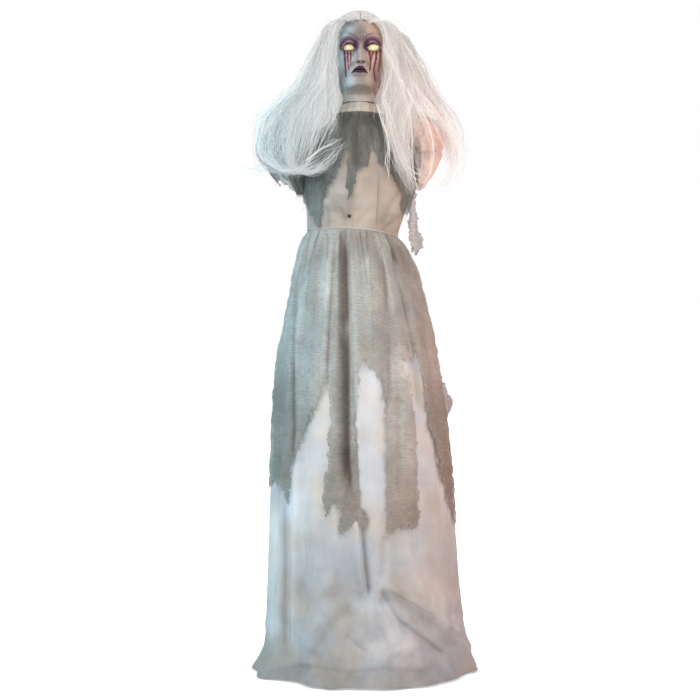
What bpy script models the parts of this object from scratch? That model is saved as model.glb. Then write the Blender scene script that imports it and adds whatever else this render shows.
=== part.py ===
# Animated ghost figure: a standing party prop whose head turns from side to side.
# A plastic hub with four plug-in legs carries a three-piece mast. The mast carries a control box
# with the gear train, and the box carries the two stub arms, the neck and the turning head.
# Metres, +Z up. The front is -Y, and the origin is on the floor under the mast.
from math import atan2, cos, hypot, pi, radians, sin, sqrt, tau

import bmesh
import bpy
from mathutils import Matrix, Vector

# Driving sizes
WAIST_HEIGHT = 1.120
BODICE_HEIGHT = 0.305
NECK_SEAM_RISE = 0.030
HEAD_HEIGHT = 0.228
EYE_SHARE = 0.57
EYE_SPACING = 0.063
HEAD_HALF_WIDTH = 0.0745
FACE_DEPTH = 0.097
HEAD_BACK_DEPTH = 0.088
WAIST_HALF_WIDTH = 0.1155
WAIST_HALF_DEPTH = 0.0900
BUST_HALF_WIDTH = 0.139
BUST_HALF_DEPTH = 0.0950
HEM_HALF_WIDTH = 0.285
HEM_HALF_DEPTH = 0.248
HOOP_HEIGHT = 0.860
FOOT_INSET = 0.0596
MAST_RADIUS = 0.011

# Places that follow from the driving sizes
NECKLINE_HEIGHT = WAIST_HEIGHT + BODICE_HEIGHT
NECK_SEAM_HEIGHT = NECKLINE_HEIGHT + NECK_SEAM_RISE
CROWN_HEIGHT = NECK_SEAM_HEIGHT + HEAD_HEIGHT
EYE_HEIGHT = NECK_SEAM_HEIGHT + HEAD_HEIGHT * EYE_SHARE
LEG_REACH = sqrt(2) / hypot(1 / HEM_HALF_WIDTH, 1 / HEM_HALF_DEPTH) - FOOT_INSET

# Clearances shared by every piece
FIT = 0.0003
RUNNING_GAP = 0.0006
OVERRUN = 0.003
MERGE = 0.000001

# Materials: base colour, roughness, metallic
LOOKS = {
    "zinc_steel": ((0.55, 0.56, 0.58), 0.35, 1.0),
    "black_plastic": ((0.03, 0.03, 0.035), 0.45, 0.0),
    "grey_plastic": ((0.30, 0.31, 0.33), 0.50, 0.0),
    "black_rubber": ((0.02, 0.02, 0.02), 0.85, 0.0),
    "white_nylon": ((0.85, 0.84, 0.80), 0.45, 0.0),
    "pcb_green": ((0.03, 0.22, 0.09), 0.50, 0.0),
    "battery_wrap": ((0.08, 0.12, 0.30), 0.35, 0.3),
    "pale_skin": ((0.72, 0.70, 0.68), 0.60, 0.0),
    "eye_yellow": ((0.95, 0.90, 0.62), 0.30, 0.0),
    "white_nonwoven": ((0.86, 0.83, 0.78), 0.90, 0.0),
    "grey_gauze": ((0.47, 0.48, 0.42), 0.95, 0.0),
    "pale_sleeve": ((0.66, 0.66, 0.66), 0.92, 0.0),
    "white_hair": ((0.82, 0.80, 0.80), 0.60, 0.0),
}
SHARP_ANGLE = radians(35)
ROUND_SIDES = 12
FINE_SIDES = 20
SMALL_SIDES = 8


# Helpers
def material(name):
    found = bpy.data.materials.get(name)
    if found:
        return found
    colour, roughness, metallic = LOOKS[name]
    made = bpy.data.materials.new(name)
    made.use_nodes = True
    shader = made.node_tree.nodes["Principled BSDF"]
    shader.inputs["Base Color"].default_value = (*colour, 1.0)
    shader.inputs["Roughness"].default_value = roughness
    shader.inputs["Metallic"].default_value = metallic
    made.diffuse_color = (*colour, 1.0)
    return made


def place(name, shape, look, at=(0, 0, 0), turn=None):
    """Make the named object from a bmesh, with its material, its place and its turn."""
    bmesh.ops.recalc_face_normals(shape, faces=shape.faces)
    mesh = bpy.data.meshes.new(name)
    shape.to_mesh(mesh)
    shape.free()
    mesh.shade_smooth()
    mesh.set_sharp_from_angle(angle=SHARP_ANGLE)
    mesh.materials.append(material(look))
    made = bpy.data.objects.new(name, mesh)
    made.matrix_world = Matrix.Translation(Vector(at)) @ (turn or Matrix.Identity(4))
    bpy.context.scene.collection.objects.link(made)
    return made


def hidden(guide):
    """Keep a cutter or a guide out of the model."""
    guide.hide_render = True
    guide.display_type = "WIRE"
    return guide


def cut(piece, cutter):
    step = piece.modifiers.new("cut", "BOOLEAN")
    step.operation = "DIFFERENCE"
    step.object = hidden(cutter)


def fuse(piece, addition):
    step = piece.modifiers.new("fuse", "BOOLEAN")
    step.operation = "UNION"
    step.object = hidden(addition)


def box_shape(low, high):
    shape = bmesh.new()
    size = [b - a for a, b in zip(low, high)]
    middle = [(a + b) / 2 for a, b in zip(low, high)]
    bmesh.ops.create_cube(shape, size=1)
    bmesh.ops.scale(shape, vec=size, verts=shape.verts)
    bmesh.ops.translate(shape, vec=middle, verts=shape.verts)
    return shape


def turned_shape(outline, sides=ROUND_SIDES):
    """Spin a closed outline of (radius, height) about the Z axis."""
    shape = bmesh.new()
    points = [shape.verts.new((radius, 0, height)) for radius, height in outline]
    edges = [shape.edges.new((a, b)) for a, b in zip(points, points[1:] + points[:1])]
    bmesh.ops.spin(shape, geom=points + edges, cent=(0, 0, 0), axis=(0, 0, 1), angle=tau,
                   steps=sides, use_merge=True)
    bmesh.ops.remove_doubles(shape, verts=shape.verts, dist=MERGE)
    bmesh.ops.dissolve_degenerate(shape, edges=shape.edges, dist=MERGE)
    loose = [edge for edge in shape.edges if not edge.link_faces]
    bmesh.ops.delete(shape, geom=loose, context="EDGES")
    return shape


def rods_shape(radius, low, high, centres, sides=SMALL_SIDES):
    """Equal upright cylinders side by side in one shape."""
    shape = bmesh.new()
    for x, y in centres:
        middle = Matrix.Translation((x, y, (low + high) / 2))
        bmesh.ops.create_cone(shape, cap_ends=True, segments=sides, radius1=radius, radius2=radius,
                              depth=high - low, matrix=middle)
    return shape


def rod_shape(radius, low, high, sides=ROUND_SIDES):
    """An upright cylinder between two heights."""
    return rods_shape(radius, low, high, [(0, 0)], sides)


def along_x(sign=1):
    """Turn the Z axis to +X or -X."""
    return Matrix.Rotation(sign * pi / 2, 4, "Y")


def along_front():
    """Turn the Z axis to the front, -Y."""
    return Matrix.Rotation(pi / 2, 4, "X")


def from_shares(table, share):
    """Read a row of a table of shares, straight between its lines."""
    for low, high in zip(table, table[1:]):
        if share <= high[0]:
            part = (share - low[0]) / (high[0] - low[0])
            return [a + (b - a) * part for a, b in zip(low[1:], high[1:])]
    return list(table[-1][1:])


def shell_shape(rows, thickness):
    """Closed cloth shell from rows of outer points, thickened level towards each row's centre."""
    shape = bmesh.new()
    grid = []
    for row in rows:
        centre = sum((Vector(point) for point in row), Vector()) / len(row)
        line = []
        for point in row:
            inward = Vector((centre.x - point[0], centre.y - point[1], 0)).normalized()
            line.append((shape.verts.new(point), shape.verts.new(Vector(point) + inward * thickness)))
        grid.append(line)
    columns = len(rows[0])

    def patch(a, b, c, d):
        shape.faces.new((a, b, c))
        shape.faces.new((a, c, d))

    for column in range(columns):
        right = (column + 1) % columns
        for upper, lower in zip(grid, grid[1:]):
            patch(upper[column][0], lower[column][0], lower[right][0], upper[right][0])
            patch(upper[right][1], lower[right][1], lower[column][1], upper[column][1])
        for line in (grid[0], grid[-1]):
            patch(line[column][0], line[right][0], line[right][1], line[column][1])
    return shape


def capped_shape(rows):
    """Closed solid through rows of points, with a fan on the first and the last row."""
    shape = bmesh.new()
    grid = [[shape.verts.new(point) for point in row] for row in rows]
    columns = len(rows[0])
    for column in range(columns):
        right = (column + 1) % columns
        for upper, lower in zip(grid, grid[1:]):
            shape.faces.new((upper[column], lower[column], lower[right]))
            shape.faces.new((upper[column], lower[right], upper[right]))
    for line in (grid[0], grid[-1]):
        middle = shape.verts.new(sum((vert.co for vert in line), Vector()) / columns)
        for column in range(columns):
            shape.faces.new((line[column], line[(column + 1) % columns], middle))
    return shape


# Base: hub, plug-in legs and rubber feet
HUB_RADIUS = 0.045
HUB_TOP = 0.055
HUB_FLOOR = 0.008
HUB_COLLAR_RADIUS = 0.019
HUB_SHOULDER = 0.034
LEG_RADIUS = 0.008
LEG_AXIS_HEIGHT = 0.016
LEG_PLUG = 0.024
TUBE_WALL = 0.0012
FOOT_LENGTH = 0.034
FOOT_WALL = 0.004
LEG_ANGLES = [radians(45 + 90 * turn) for turn in range(4)]


def base_stand():
    outline = [
        (0, 0), (HUB_RADIUS, 0), (HUB_RADIUS, HUB_SHOULDER), (HUB_COLLAR_RADIUS, HUB_TOP),
        (MAST_RADIUS + FIT, HUB_TOP), (MAST_RADIUS + FIT, HUB_FLOOR), (0, HUB_FLOOR),
    ]
    hub = place("base_hub", turned_shape(outline, FINE_SIDES), "black_plastic")
    plug_start = HUB_RADIUS - LEG_PLUG
    for number, angle in enumerate(LEG_ANGLES, 1):
        turn = Matrix.Rotation(angle, 4, "Z") @ along_x()
        height = (0, 0, LEG_AXIS_HEIGHT)
        socket = rod_shape(LEG_RADIUS + FIT, plug_start, HUB_RADIUS + OVERRUN)
        cut(hub, place(f"leg_socket_{number}", socket, "black_plastic", height, turn))
        inner = LEG_RADIUS - TUBE_WALL
        tube = [
            (LEG_RADIUS, plug_start + FIT), (LEG_RADIUS, LEG_REACH), (inner, LEG_REACH),
            (inner, plug_start + FIT),
        ]
        place(f"leg_{number}", turned_shape(tube), "zinc_steel", height, turn)
        rubber = LEG_AXIS_HEIGHT / cos(pi / ROUND_SIDES)
        mouth = LEG_REACH + FIT + FOOT_WALL - FOOT_LENGTH
        boot = [
            (0, LEG_REACH + FIT), (0, LEG_REACH + FIT + FOOT_WALL),
            (rubber, LEG_REACH + FIT + FOOT_WALL), (rubber, mouth),
            (LEG_RADIUS + FIT, mouth), (LEG_RADIUS + FIT, LEG_REACH + FIT),
        ]
        half_side = Matrix.Rotation(pi / ROUND_SIDES, 4, "Z")
        place(f"foot_{number}", turned_shape(boot), "black_rubber", height, turn @ half_side)


# Mast: three push-fit steel tubes
HOOP_OVER_JOINT = 0.030
MAST_INTO_BOX = 0.025
SPIGOT_LENGTH = 0.030


def mast_top():
    return BOX_BOTTOM + MAST_INTO_BOX


def mast():
    upper_joint = HOOP_HEIGHT - HOOP_OVER_JOINT
    breaks = (upper_joint / 2, upper_joint)
    starts = (HUB_FLOOR + FIT, breaks[0] + FIT, breaks[1] + FIT)
    ends = (*breaks, mast_top())
    bore = MAST_RADIUS - TUBE_WALL
    spigot = bore - FIT
    for name, low, high in zip(("mast_lower", "mast_middle", "mast_upper"), starts, ends):
        outline = [(MAST_RADIUS, low), (MAST_RADIUS, high), (bore, high), (bore, low)]
        if name != "mast_lower":
            tip = low - SPIGOT_LENGTH
            outline[3:] = [
                (bore, low + TUBE_WALL), (spigot - TUBE_WALL, low), (spigot - TUBE_WALL, tip),
                (spigot, tip), (spigot, low),
            ]
        place(name, turned_shape(outline), "zinc_steel")


# Skirts: shares run from the waist (0) to the hem (1); a width share goes from waist to hem too
SKIRT_COLUMNS = 44
SKIRT_SHARES = (
    (0.000, 0.00), (0.035, 0.13), (0.087, 0.275), (0.154, 0.40), (0.268, 0.535), (0.385, 0.60),
    (0.570, 0.67), (0.776, 0.74), (0.910, 0.80), (0.955, 0.835), (0.982, 0.92), (1.000, 1.00),
)
UNDERSKIRT_THICKNESS = 0.0025
OVERSKIRT_THICKNESS = 0.0020
OVERSKIRT_LIFT = 0.0060
SKIRT_FOLD_DEPTH = 0.015
FOLD_GROWS_OVER_SHARE = 0.268
FOLD_WAVES = ((7, 0.6, 0.45), (11, 2.3, 0.35), (16, 4.0, 0.20))
LEAN_SHARES = ((0.0, -1.0), (0.23, 0.0), (0.6, 0.35), (1.0, 1.0))
WAIST_LEAN = 0.017
WAISTBAND_THICKNESS = 0.003
WAISTBAND_HEIGHT = 0.014
WAISTBAND_COLUMNS = 22
GAUZE_GAP_SHARE = 0.310
RAGGED_SHARE = 0.018
RAGGED_WAVES = 19
GAUZE_FIXED_ROWS = 5
GAUZE_FREE_ROWS = 3
# Ragged strips: middle angle and half-width in degrees, and how far down the skirt they reach
GAUZE_STRIP_SHARES = (
    (-152, 19, 0.61), (-97, 17, 0.665), (-55, 14, 0.66), (-20, 16, 0.64), (20, 15, 0.58),
    (58, 16, 0.66), (98, 16, 0.60), (136, 16, 0.64), (172, 13, 0.57),
)


def lean(share):
    """How far the cloth's centre line stands to the right at a share of the way down."""
    return from_shares(LEAN_SHARES, share)[0] * WAIST_LEAN


def angles(columns):
    return [-pi / 2 + tau * column / columns for column in range(columns)]


def skirt_ellipse(share, angle, out=0.0):
    """The skirt's smooth outline, pushed out by a distance."""
    width_share = from_shares(SKIRT_SHARES, share)[0]
    half_width = skirt_top_width() + (HEM_HALF_WIDTH - skirt_top_width()) * width_share
    half_depth = skirt_top_depth() + (HEM_HALF_DEPTH - skirt_top_depth()) * width_share
    return (
        lean(share) + (half_width + out) * cos(angle),
        (half_depth + out) * sin(angle),
        waist_seam() * (1 - share),
    )


def skirt_fold(share, angle):
    """How far the folds stand out of the smooth outline."""
    fold = sum(size * cos(waves * angle + phase) for waves, phase, size in FOLD_WAVES)
    return SKIRT_FOLD_DEPTH * fold * min(1, share / FOLD_GROWS_OVER_SHARE)


def skirt_point(share, angle, lift=0.0):
    """Outer face of the underskirt, pushed out by a lift."""
    return skirt_ellipse(share, angle, skirt_fold(share, angle) + lift)


def waist_seam():
    return WAIST_HEIGHT - FIT


def skirt_top_width():
    return WAIST_HALF_WIDTH - OVERSKIRT_THICKNESS - FIT


def skirt_top_depth():
    return WAIST_HALF_DEPTH - OVERSKIRT_THICKNESS - FIT


def strip_reach(angle):
    """How far down the gauze hangs at an angle."""
    reach = GAUZE_GAP_SHARE
    for middle, half, share in GAUZE_STRIP_SHARES:
        away = abs((angle - radians(middle) + pi) % tau - pi) / radians(half)
        if away < 1:
            reach = max(reach, GAUZE_GAP_SHARE + (share - GAUZE_GAP_SHARE) * (1 - away ** 4))
    return reach + RAGGED_SHARE * sin(RAGGED_WAVES * angle)


def underskirt():
    rows = [[skirt_point(line[0], angle) for angle in angles(SKIRT_COLUMNS)] for line in SKIRT_SHARES]
    place("underskirt", shell_shape(rows, UNDERSKIRT_THICKNESS), "white_nonwoven")


def overskirt():
    fixed = [line[0] for line in SKIRT_SHARES[:GAUZE_FIXED_ROWS]]
    rows = []
    for number in range(GAUZE_FIXED_ROWS + GAUZE_FREE_ROWS):
        row = []
        for angle in angles(SKIRT_COLUMNS):
            if number < GAUZE_FIXED_ROWS:
                share = fixed[number]
            else:
                part = (number - GAUZE_FIXED_ROWS + 1) / GAUZE_FREE_ROWS
                share = fixed[-1] + (strip_reach(angle) - fixed[-1]) * part
            grown = min(1, share / fixed[1])
            lift = FIT + OVERSKIRT_THICKNESS + OVERSKIRT_LIFT * grown
            row.append(skirt_point(share, angle, lift))
        rows.append(row)
    place("gauze_overskirt", shell_shape(rows, OVERSKIRT_THICKNESS), "grey_gauze")


def waistband():
    """The tape inside the top of the skirts, sewn to the bodice."""
    inset = UNDERSKIRT_THICKNESS + FIT
    rows = []
    for drop in (0, WAISTBAND_HEIGHT):
        rows.append([
            (
                lean(0) + (skirt_top_width() - inset) * cos(angle),
                (skirt_top_depth() - inset) * sin(angle),
                waist_seam() - drop,
            )
            for angle in angles(WAISTBAND_COLUMNS)
        ])
    place("waistband", shell_shape(rows, WAISTBAND_THICKNESS), "white_nonwoven")


# Hoop: a wire ring with four spokes in a collar on the mast, which holds the skirt out
HOOP_WIRE_RADIUS = 0.003
SPOKE_RADIUS = 0.0026
HOOP_SEGMENTS = 32
HOOP_WIRE_SIDES = 6
HOOP_EASE = 0.0006
COLLAR_RADIUS = 0.020
COLLAR_HEIGHT = 0.022
SPOKE_PLUG = 0.007


def hoop():
    share = 1 - HOOP_HEIGHT / waist_seam()
    deepest = min(skirt_fold(share, angle) for angle in angles(SKIRT_COLUMNS))
    out = deepest - UNDERSKIRT_THICKNESS - FIT - HOOP_WIRE_RADIUS - HOOP_EASE
    path = [Vector(skirt_ellipse(share, angle, out)) for angle in angles(HOOP_SEGMENTS)]
    shape = bmesh.new()
    rings = []
    for number, point in enumerate(path):
        ahead = path[(number + 1) % HOOP_SEGMENTS] - path[number - 1]
        side = Vector((ahead.y, -ahead.x, 0)).normalized()
        ring = []
        for corner in range(HOOP_WIRE_SIDES):
            turn = tau * corner / HOOP_WIRE_SIDES
            offset = side * cos(turn) + Vector((0, 0, 1)) * sin(turn)
            ring.append(shape.verts.new(point + offset * HOOP_WIRE_RADIUS))
        rings.append(ring)
    for ring, following in zip(rings, rings[1:] + rings[:1]):
        for corner in range(HOOP_WIRE_SIDES):
            after = (corner + 1) % HOOP_WIRE_SIDES
            shape.faces.new((ring[corner], ring[after], following[after], following[corner]))
    ring = place("hip_hoop", shape, "zinc_steel")
    collar_outline = [
        (MAST_RADIUS + FIT, -COLLAR_HEIGHT / 2), (COLLAR_RADIUS, -COLLAR_HEIGHT / 2),
        (COLLAR_RADIUS, COLLAR_HEIGHT / 2), (MAST_RADIUS + FIT, COLLAR_HEIGHT / 2),
    ]
    height = (0, 0, HOOP_HEIGHT)
    collar = place("hoop_collar", turned_shape(collar_outline), "black_plastic", height)
    quarter = HOOP_SEGMENTS // 4
    for number, direction in enumerate((-pi / 2, 0, pi / 2, pi)):
        reach = abs(path[quarter * number].x if number % 2 else path[quarter * number].y)
        turn = Matrix.Rotation(direction, 4, "Z") @ along_x()
        start = COLLAR_RADIUS - SPOKE_PLUG
        spoke = rod_shape(SPOKE_RADIUS, start + FIT, reach, HOOP_WIRE_SIDES)
        fuse(ring, place(f"spoke_{number}", spoke, "zinc_steel", height, turn))
        hole = rod_shape(SPOKE_RADIUS + FIT, start, COLLAR_RADIUS + OVERRUN, HOOP_WIRE_SIDES)
        cut(collar, place(f"spoke_hole_{number}", hole, "zinc_steel", height, turn))


# Control box: two shells on the mast socket
BOX_HALF_WIDTH = 0.065
BOX_FRONT = 0.040
BOX_REAR = 0.045
BOX_DROP = 0.040
BOX_HEIGHT = 0.170
BOX_TOP = NECKLINE_HEIGHT - BOX_DROP
BOX_BOTTOM = BOX_TOP - BOX_HEIGHT
BOX_WALL = 0.0025
SOCKET_RADIUS = 0.015
SOCKET_FLANGE_RADIUS = 0.022
SOCKET_FLANGE = 0.003
SOCKET_DROP = 0.025
SOCKET_ROOF = 0.003
SPEAKER_ACROSS = 0.037
SPEAKER_RISE = 0.047
SPEAKER_AT = (SPEAKER_ACROSS, BOX_BOTTOM + SPEAKER_RISE)
SPEAKER_RADIUS = 0.0185
SPEAKER_DEPTH = 0.012
MAGNET_RADIUS = 0.010
SPEAKER_RIM = 0.004
GRILLE_HOLE_RADIUS = 0.0016
GRILLE_RING_RADIUS = 0.009
GRILLE_HOLES = 6
GRILLE_TURN = radians(8)
BOARD_LEFT = -0.056
BOARD_RIGHT = 0.008
BOARD_RISE = 0.007
BOARD_HEIGHT = 0.078
BOARD_LOW = (BOARD_LEFT, BOX_BOTTOM + BOARD_RISE)
BOARD_HIGH = (BOARD_RIGHT, BOX_BOTTOM + BOARD_RISE + BOARD_HEIGHT)
BOARD_THICKNESS = 0.0016
BOARD_STANDOFF = 0.006
STANDOFF_RADIUS = 0.0025
CHIP_SIZE = 0.012
CHIP_THICKNESS = 0.002
CORNER_INSET = 0.006


def box_half(name, low_y, high_y, open_y):
    """One open half of the box, with its walls, floor and roof."""
    body = box_shape((-BOX_HALF_WIDTH, low_y, BOX_BOTTOM), (BOX_HALF_WIDTH, high_y, BOX_TOP))
    half = place(name, body, "black_plastic")
    inner_low = [-BOX_HALF_WIDTH + BOX_WALL, low_y + BOX_WALL, BOX_BOTTOM + BOX_WALL]
    inner_high = [BOX_HALF_WIDTH - BOX_WALL, high_y - BOX_WALL, BOX_TOP - BOX_WALL]
    if open_y > 0:
        inner_high[1] = high_y + OVERRUN
    else:
        inner_low[1] = low_y - OVERRUN
    cut(half, place(f"{name}_hollow", box_shape(inner_low, inner_high), "black_plastic"))
    return half


def mast_socket():
    roof = mast_top() + FIT
    mouth = BOX_BOTTOM - SOCKET_DROP
    outline = [
        (0, roof), (0, roof + SOCKET_ROOF), (SOCKET_RADIUS, roof + SOCKET_ROOF),
        (SOCKET_RADIUS, BOX_BOTTOM - FIT), (SOCKET_FLANGE_RADIUS, BOX_BOTTOM - FIT),
        (SOCKET_FLANGE_RADIUS, BOX_BOTTOM - FIT - SOCKET_FLANGE),
        (SOCKET_RADIUS, BOX_BOTTOM - FIT - SOCKET_FLANGE), (SOCKET_RADIUS, mouth),
        (MAST_RADIUS + FIT, mouth), (MAST_RADIUS + FIT, roof),
    ]
    place("mast_socket", turned_shape(outline), "grey_plastic")


def control_box():
    front = box_half("box_front", -BOX_FRONT, -FIT / 2, 1)
    rear = box_half("box_rear", FIT / 2, BOX_REAR, -1)
    reach = BOX_HALF_WIDTH + OVERRUN
    holes = (
        ("bush", rod_shape(BUSH_RADIUS + FIT, BOX_TOP - BOX_WALL - OVERRUN, BOX_TOP + OVERRUN), None),
        ("socket", rod_shape(SOCKET_RADIUS + FIT, BOX_BOTTOM - OVERRUN,
                             BOX_BOTTOM + BOX_WALL + OVERRUN), None),
        ("arms", rod_shape(ARM_RADIUS + FIT, -reach, reach), along_x()),
    )
    for half, side in ((front, "front"), (rear, "rear")):
        for name, shape, turn in holes:
            at = (0, 0, ARM_HEIGHT) if name == "arms" else (0, 0, 0)
            cut(half, place(f"{side}_{name}_hole", shape.copy(), "black_plastic", at, turn))
    for _, shape, _ in holes:
        shape.free()
    speaker_grille(front)
    standoffs(front)
    battery_opening(rear)
    switch_slot(rear)


def speaker_grille(front):
    centres = [(0, 0)]
    for number in range(GRILLE_HOLES):
        turn = GRILLE_TURN + tau * number / GRILLE_HOLES
        centres.append((GRILLE_RING_RADIUS * cos(turn), GRILLE_RING_RADIUS * sin(turn)))
    holes = rods_shape(GRILLE_HOLE_RADIUS, -BOX_WALL - OVERRUN, OVERRUN, centres)
    at = (SPEAKER_AT[0], -BOX_FRONT, SPEAKER_AT[1])
    cut(front, place("grille_holes", holes, "black_plastic", at, along_front()))


def speaker():
    outline = [
        (0, 0), (SPEAKER_RADIUS, 0), (SPEAKER_RADIUS, -SPEAKER_RIM), (MAGNET_RADIUS, -SPEAKER_RIM * 2),
        (MAGNET_RADIUS, -SPEAKER_DEPTH), (0, -SPEAKER_DEPTH),
    ]
    at = (SPEAKER_AT[0], -BOX_FRONT + BOX_WALL + FIT, SPEAKER_AT[1])
    place("speaker", turned_shape(outline), "black_plastic", at, along_front())


def standoffs(front):
    """Four posts on the front wall that carry the circuit board."""
    centres = [
        (across, up)
        for across in (BOARD_LOW[0] + CORNER_INSET, BOARD_HIGH[0] - CORNER_INSET)
        for up in (BOARD_LOW[1] + CORNER_INSET, BOARD_HIGH[1] - CORNER_INSET)
    ]
    posts = rods_shape(STANDOFF_RADIUS, -BOARD_STANDOFF, BOX_WALL / 2, centres)
    at = (0, -BOX_FRONT + BOX_WALL, 0)
    fuse(front, place("standoffs", posts, "black_plastic", at, along_front()))


def circuit_board():
    near = -BOX_FRONT + BOX_WALL + BOARD_STANDOFF + FIT
    far = near + BOARD_THICKNESS
    plate = box_shape((BOARD_LOW[0], near, BOARD_LOW[1]), (BOARD_HIGH[0], far, BOARD_HIGH[1]))
    board = place("circuit_board", plate, "pcb_green")
    across = (BOARD_LOW[0] + BOARD_HIGH[0]) / 2
    up = (BOARD_LOW[1] + BOARD_HIGH[1]) / 2
    chip = box_shape(
        (across - CHIP_SIZE / 2, near + BOARD_THICKNESS / 2, up - CHIP_SIZE / 2),
        (across + CHIP_SIZE / 2, far + CHIP_THICKNESS, up + CHIP_SIZE / 2),
    )
    fuse(board, place("chip", chip, "black_plastic"))


# Battery bay in the rear shell: a tray of three AA cells behind a sliding door
CELL_RADIUS = 0.00725
CELL_LENGTH = 0.0505
CELL_COUNT = 3
TRAY_WALL = 0.0015
TRAY_FRONT = 0.018
DOOR_LIP = 0.002
DOOR_THICKNESS = 0.002
DOOR_GRIP = 0.002
DOOR_GRIP_WIDTH = 0.003
RAIL = 0.003
RAIL_LIP = 0.0015


def tray_box():
    """Corners of the battery tray."""
    half = CELL_LENGTH / 2 + FIT + TRAY_WALL
    low = BOX_BOTTOM + BOX_WALL + FIT
    inside = CELL_COUNT * (2 * CELL_RADIUS + FIT) + FIT
    rear = BOX_REAR - BOX_WALL - FIT
    return (-half, TRAY_FRONT, low), (half, rear, low + inside + 2 * TRAY_WALL)


def battery_tray():
    low, high = tray_box()
    tray = place("battery_tray", box_shape(low, high), "black_plastic")
    inner_low = [edge + TRAY_WALL for edge in low]
    inner_high = [high[0] - TRAY_WALL, high[1] + OVERRUN, high[2] - TRAY_WALL]
    cut(tray, place("tray_hollow", box_shape(inner_low, inner_high), "black_plastic"))
    for number in range(CELL_COUNT):
        up = inner_low[2] + FIT + CELL_RADIUS + number * (2 * CELL_RADIUS + FIT)
        at = (0, inner_low[1] + FIT + CELL_RADIUS, up)
        cell = rod_shape(CELL_RADIUS, -CELL_LENGTH / 2, CELL_LENGTH / 2)
        place(f"battery_{number + 1}", cell, "battery_wrap", at, along_x())


def door_box():
    """Corners of the battery door, which covers the opening by its lip."""
    low, high = tray_box()
    face = BOX_REAR + FIT
    return (
        (low[0], face, low[2] + TRAY_WALL + RAIL),
        (high[0], face + DOOR_THICKNESS, high[2] - TRAY_WALL),
    )


def battery_opening(rear):
    low, high = door_box()
    opening = box_shape(
        (low[0] + DOOR_LIP, BOX_REAR - BOX_WALL - OVERRUN / 2, low[2] + DOOR_LIP),
        (high[0] - DOOR_LIP, BOX_REAR + OVERRUN, high[2] - DOOR_LIP),
    )
    cut(rear, place("battery_opening", opening, "black_plastic"))
    root = BOX_REAR - BOX_WALL / 2
    out = high[1] + FIT
    for name, edge, side in (("low", low[2], -1), ("high", high[2], 1)):
        near = edge + side * FIT
        wall = sorted((near, near + side * RAIL))
        lip = sorted((near - side * RAIL_LIP, near + side * RAIL))
        rail = box_shape((low[0], root, wall[0]), (high[0], out + RAIL_LIP, wall[1]))
        fuse(rear, place(f"rail_{name}", rail, "black_plastic"))
        edge_lip = box_shape((low[0], out, lip[0]), (high[0], out + RAIL_LIP, lip[1]))
        fuse(rear, place(f"rail_lip_{name}", edge_lip, "black_plastic"))


def battery_door():
    low, high = door_box()
    door = place("battery_door", box_shape(low, high), "black_plastic")
    up = RAIL_LIP * 3
    grip = box_shape(
        (-DOOR_GRIP_WIDTH / 2, low[1] + DOOR_THICKNESS / 2, low[2] + up),
        (DOOR_GRIP_WIDTH / 2, high[1] + DOOR_GRIP, high[2] - up),
    )
    fuse(door, place("door_grip", grip, "black_plastic"))


# Slide switch in the rear shell
SWITCH_ACROSS = -0.036
SWITCH_RISE = 0.085
SWITCH_AT = (SWITCH_ACROSS, BOX_BOTTOM + SWITCH_RISE)
SWITCH_HALF_WIDTH = 0.009
SWITCH_HALF_HEIGHT = 0.004
SWITCH_DEPTH = 0.007
SWITCH_RECESS = 0.004
KNOB_HALF_WIDTH = 0.002
KNOB_HALF_HEIGHT = 0.0015
KNOB_OUT = 0.002
SWITCH_TRAVEL = 0.004


def switch_window(near, far, ease):
    """The room that the knob slides in, from its rest place to the end of its travel."""
    return box_shape(
        (SWITCH_AT[0] - KNOB_HALF_WIDTH - ease, near, SWITCH_AT[1] - KNOB_HALF_HEIGHT - ease),
        (SWITCH_AT[0] + KNOB_HALF_WIDTH + SWITCH_TRAVEL + ease, far,
         SWITCH_AT[1] + KNOB_HALF_HEIGHT + ease),
    )


def switch_slot(rear):
    shape = switch_window(BOX_REAR - BOX_WALL - OVERRUN / 2, BOX_REAR + OVERRUN, FIT)
    cut(rear, place("switch_slot", shape, "black_plastic"))


def power_switch():
    face = BOX_REAR - BOX_WALL - FIT
    middle = SWITCH_AT[0] + SWITCH_TRAVEL / 2
    body = box_shape(
        (middle - SWITCH_HALF_WIDTH, face - SWITCH_DEPTH, SWITCH_AT[1] - SWITCH_HALF_HEIGHT),
        (middle + SWITCH_HALF_WIDTH, face, SWITCH_AT[1] + SWITCH_HALF_HEIGHT),
    )
    switch = place("switch_body", body, "grey_plastic")
    recess = switch_window(face - SWITCH_RECESS, face + OVERRUN, FIT)
    cut(switch, place("switch_recess", recess, "grey_plastic"))
    knob = box_shape(
        (SWITCH_AT[0] - KNOB_HALF_WIDTH, face - SWITCH_RECESS + FIT, SWITCH_AT[1] - KNOB_HALF_HEIGHT),
        (SWITCH_AT[0] + KNOB_HALF_WIDTH, BOX_REAR + KNOB_OUT, SWITCH_AT[1] + KNOB_HALF_HEIGHT),
    )
    place("switch_knob", knob, "white_nylon")


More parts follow.
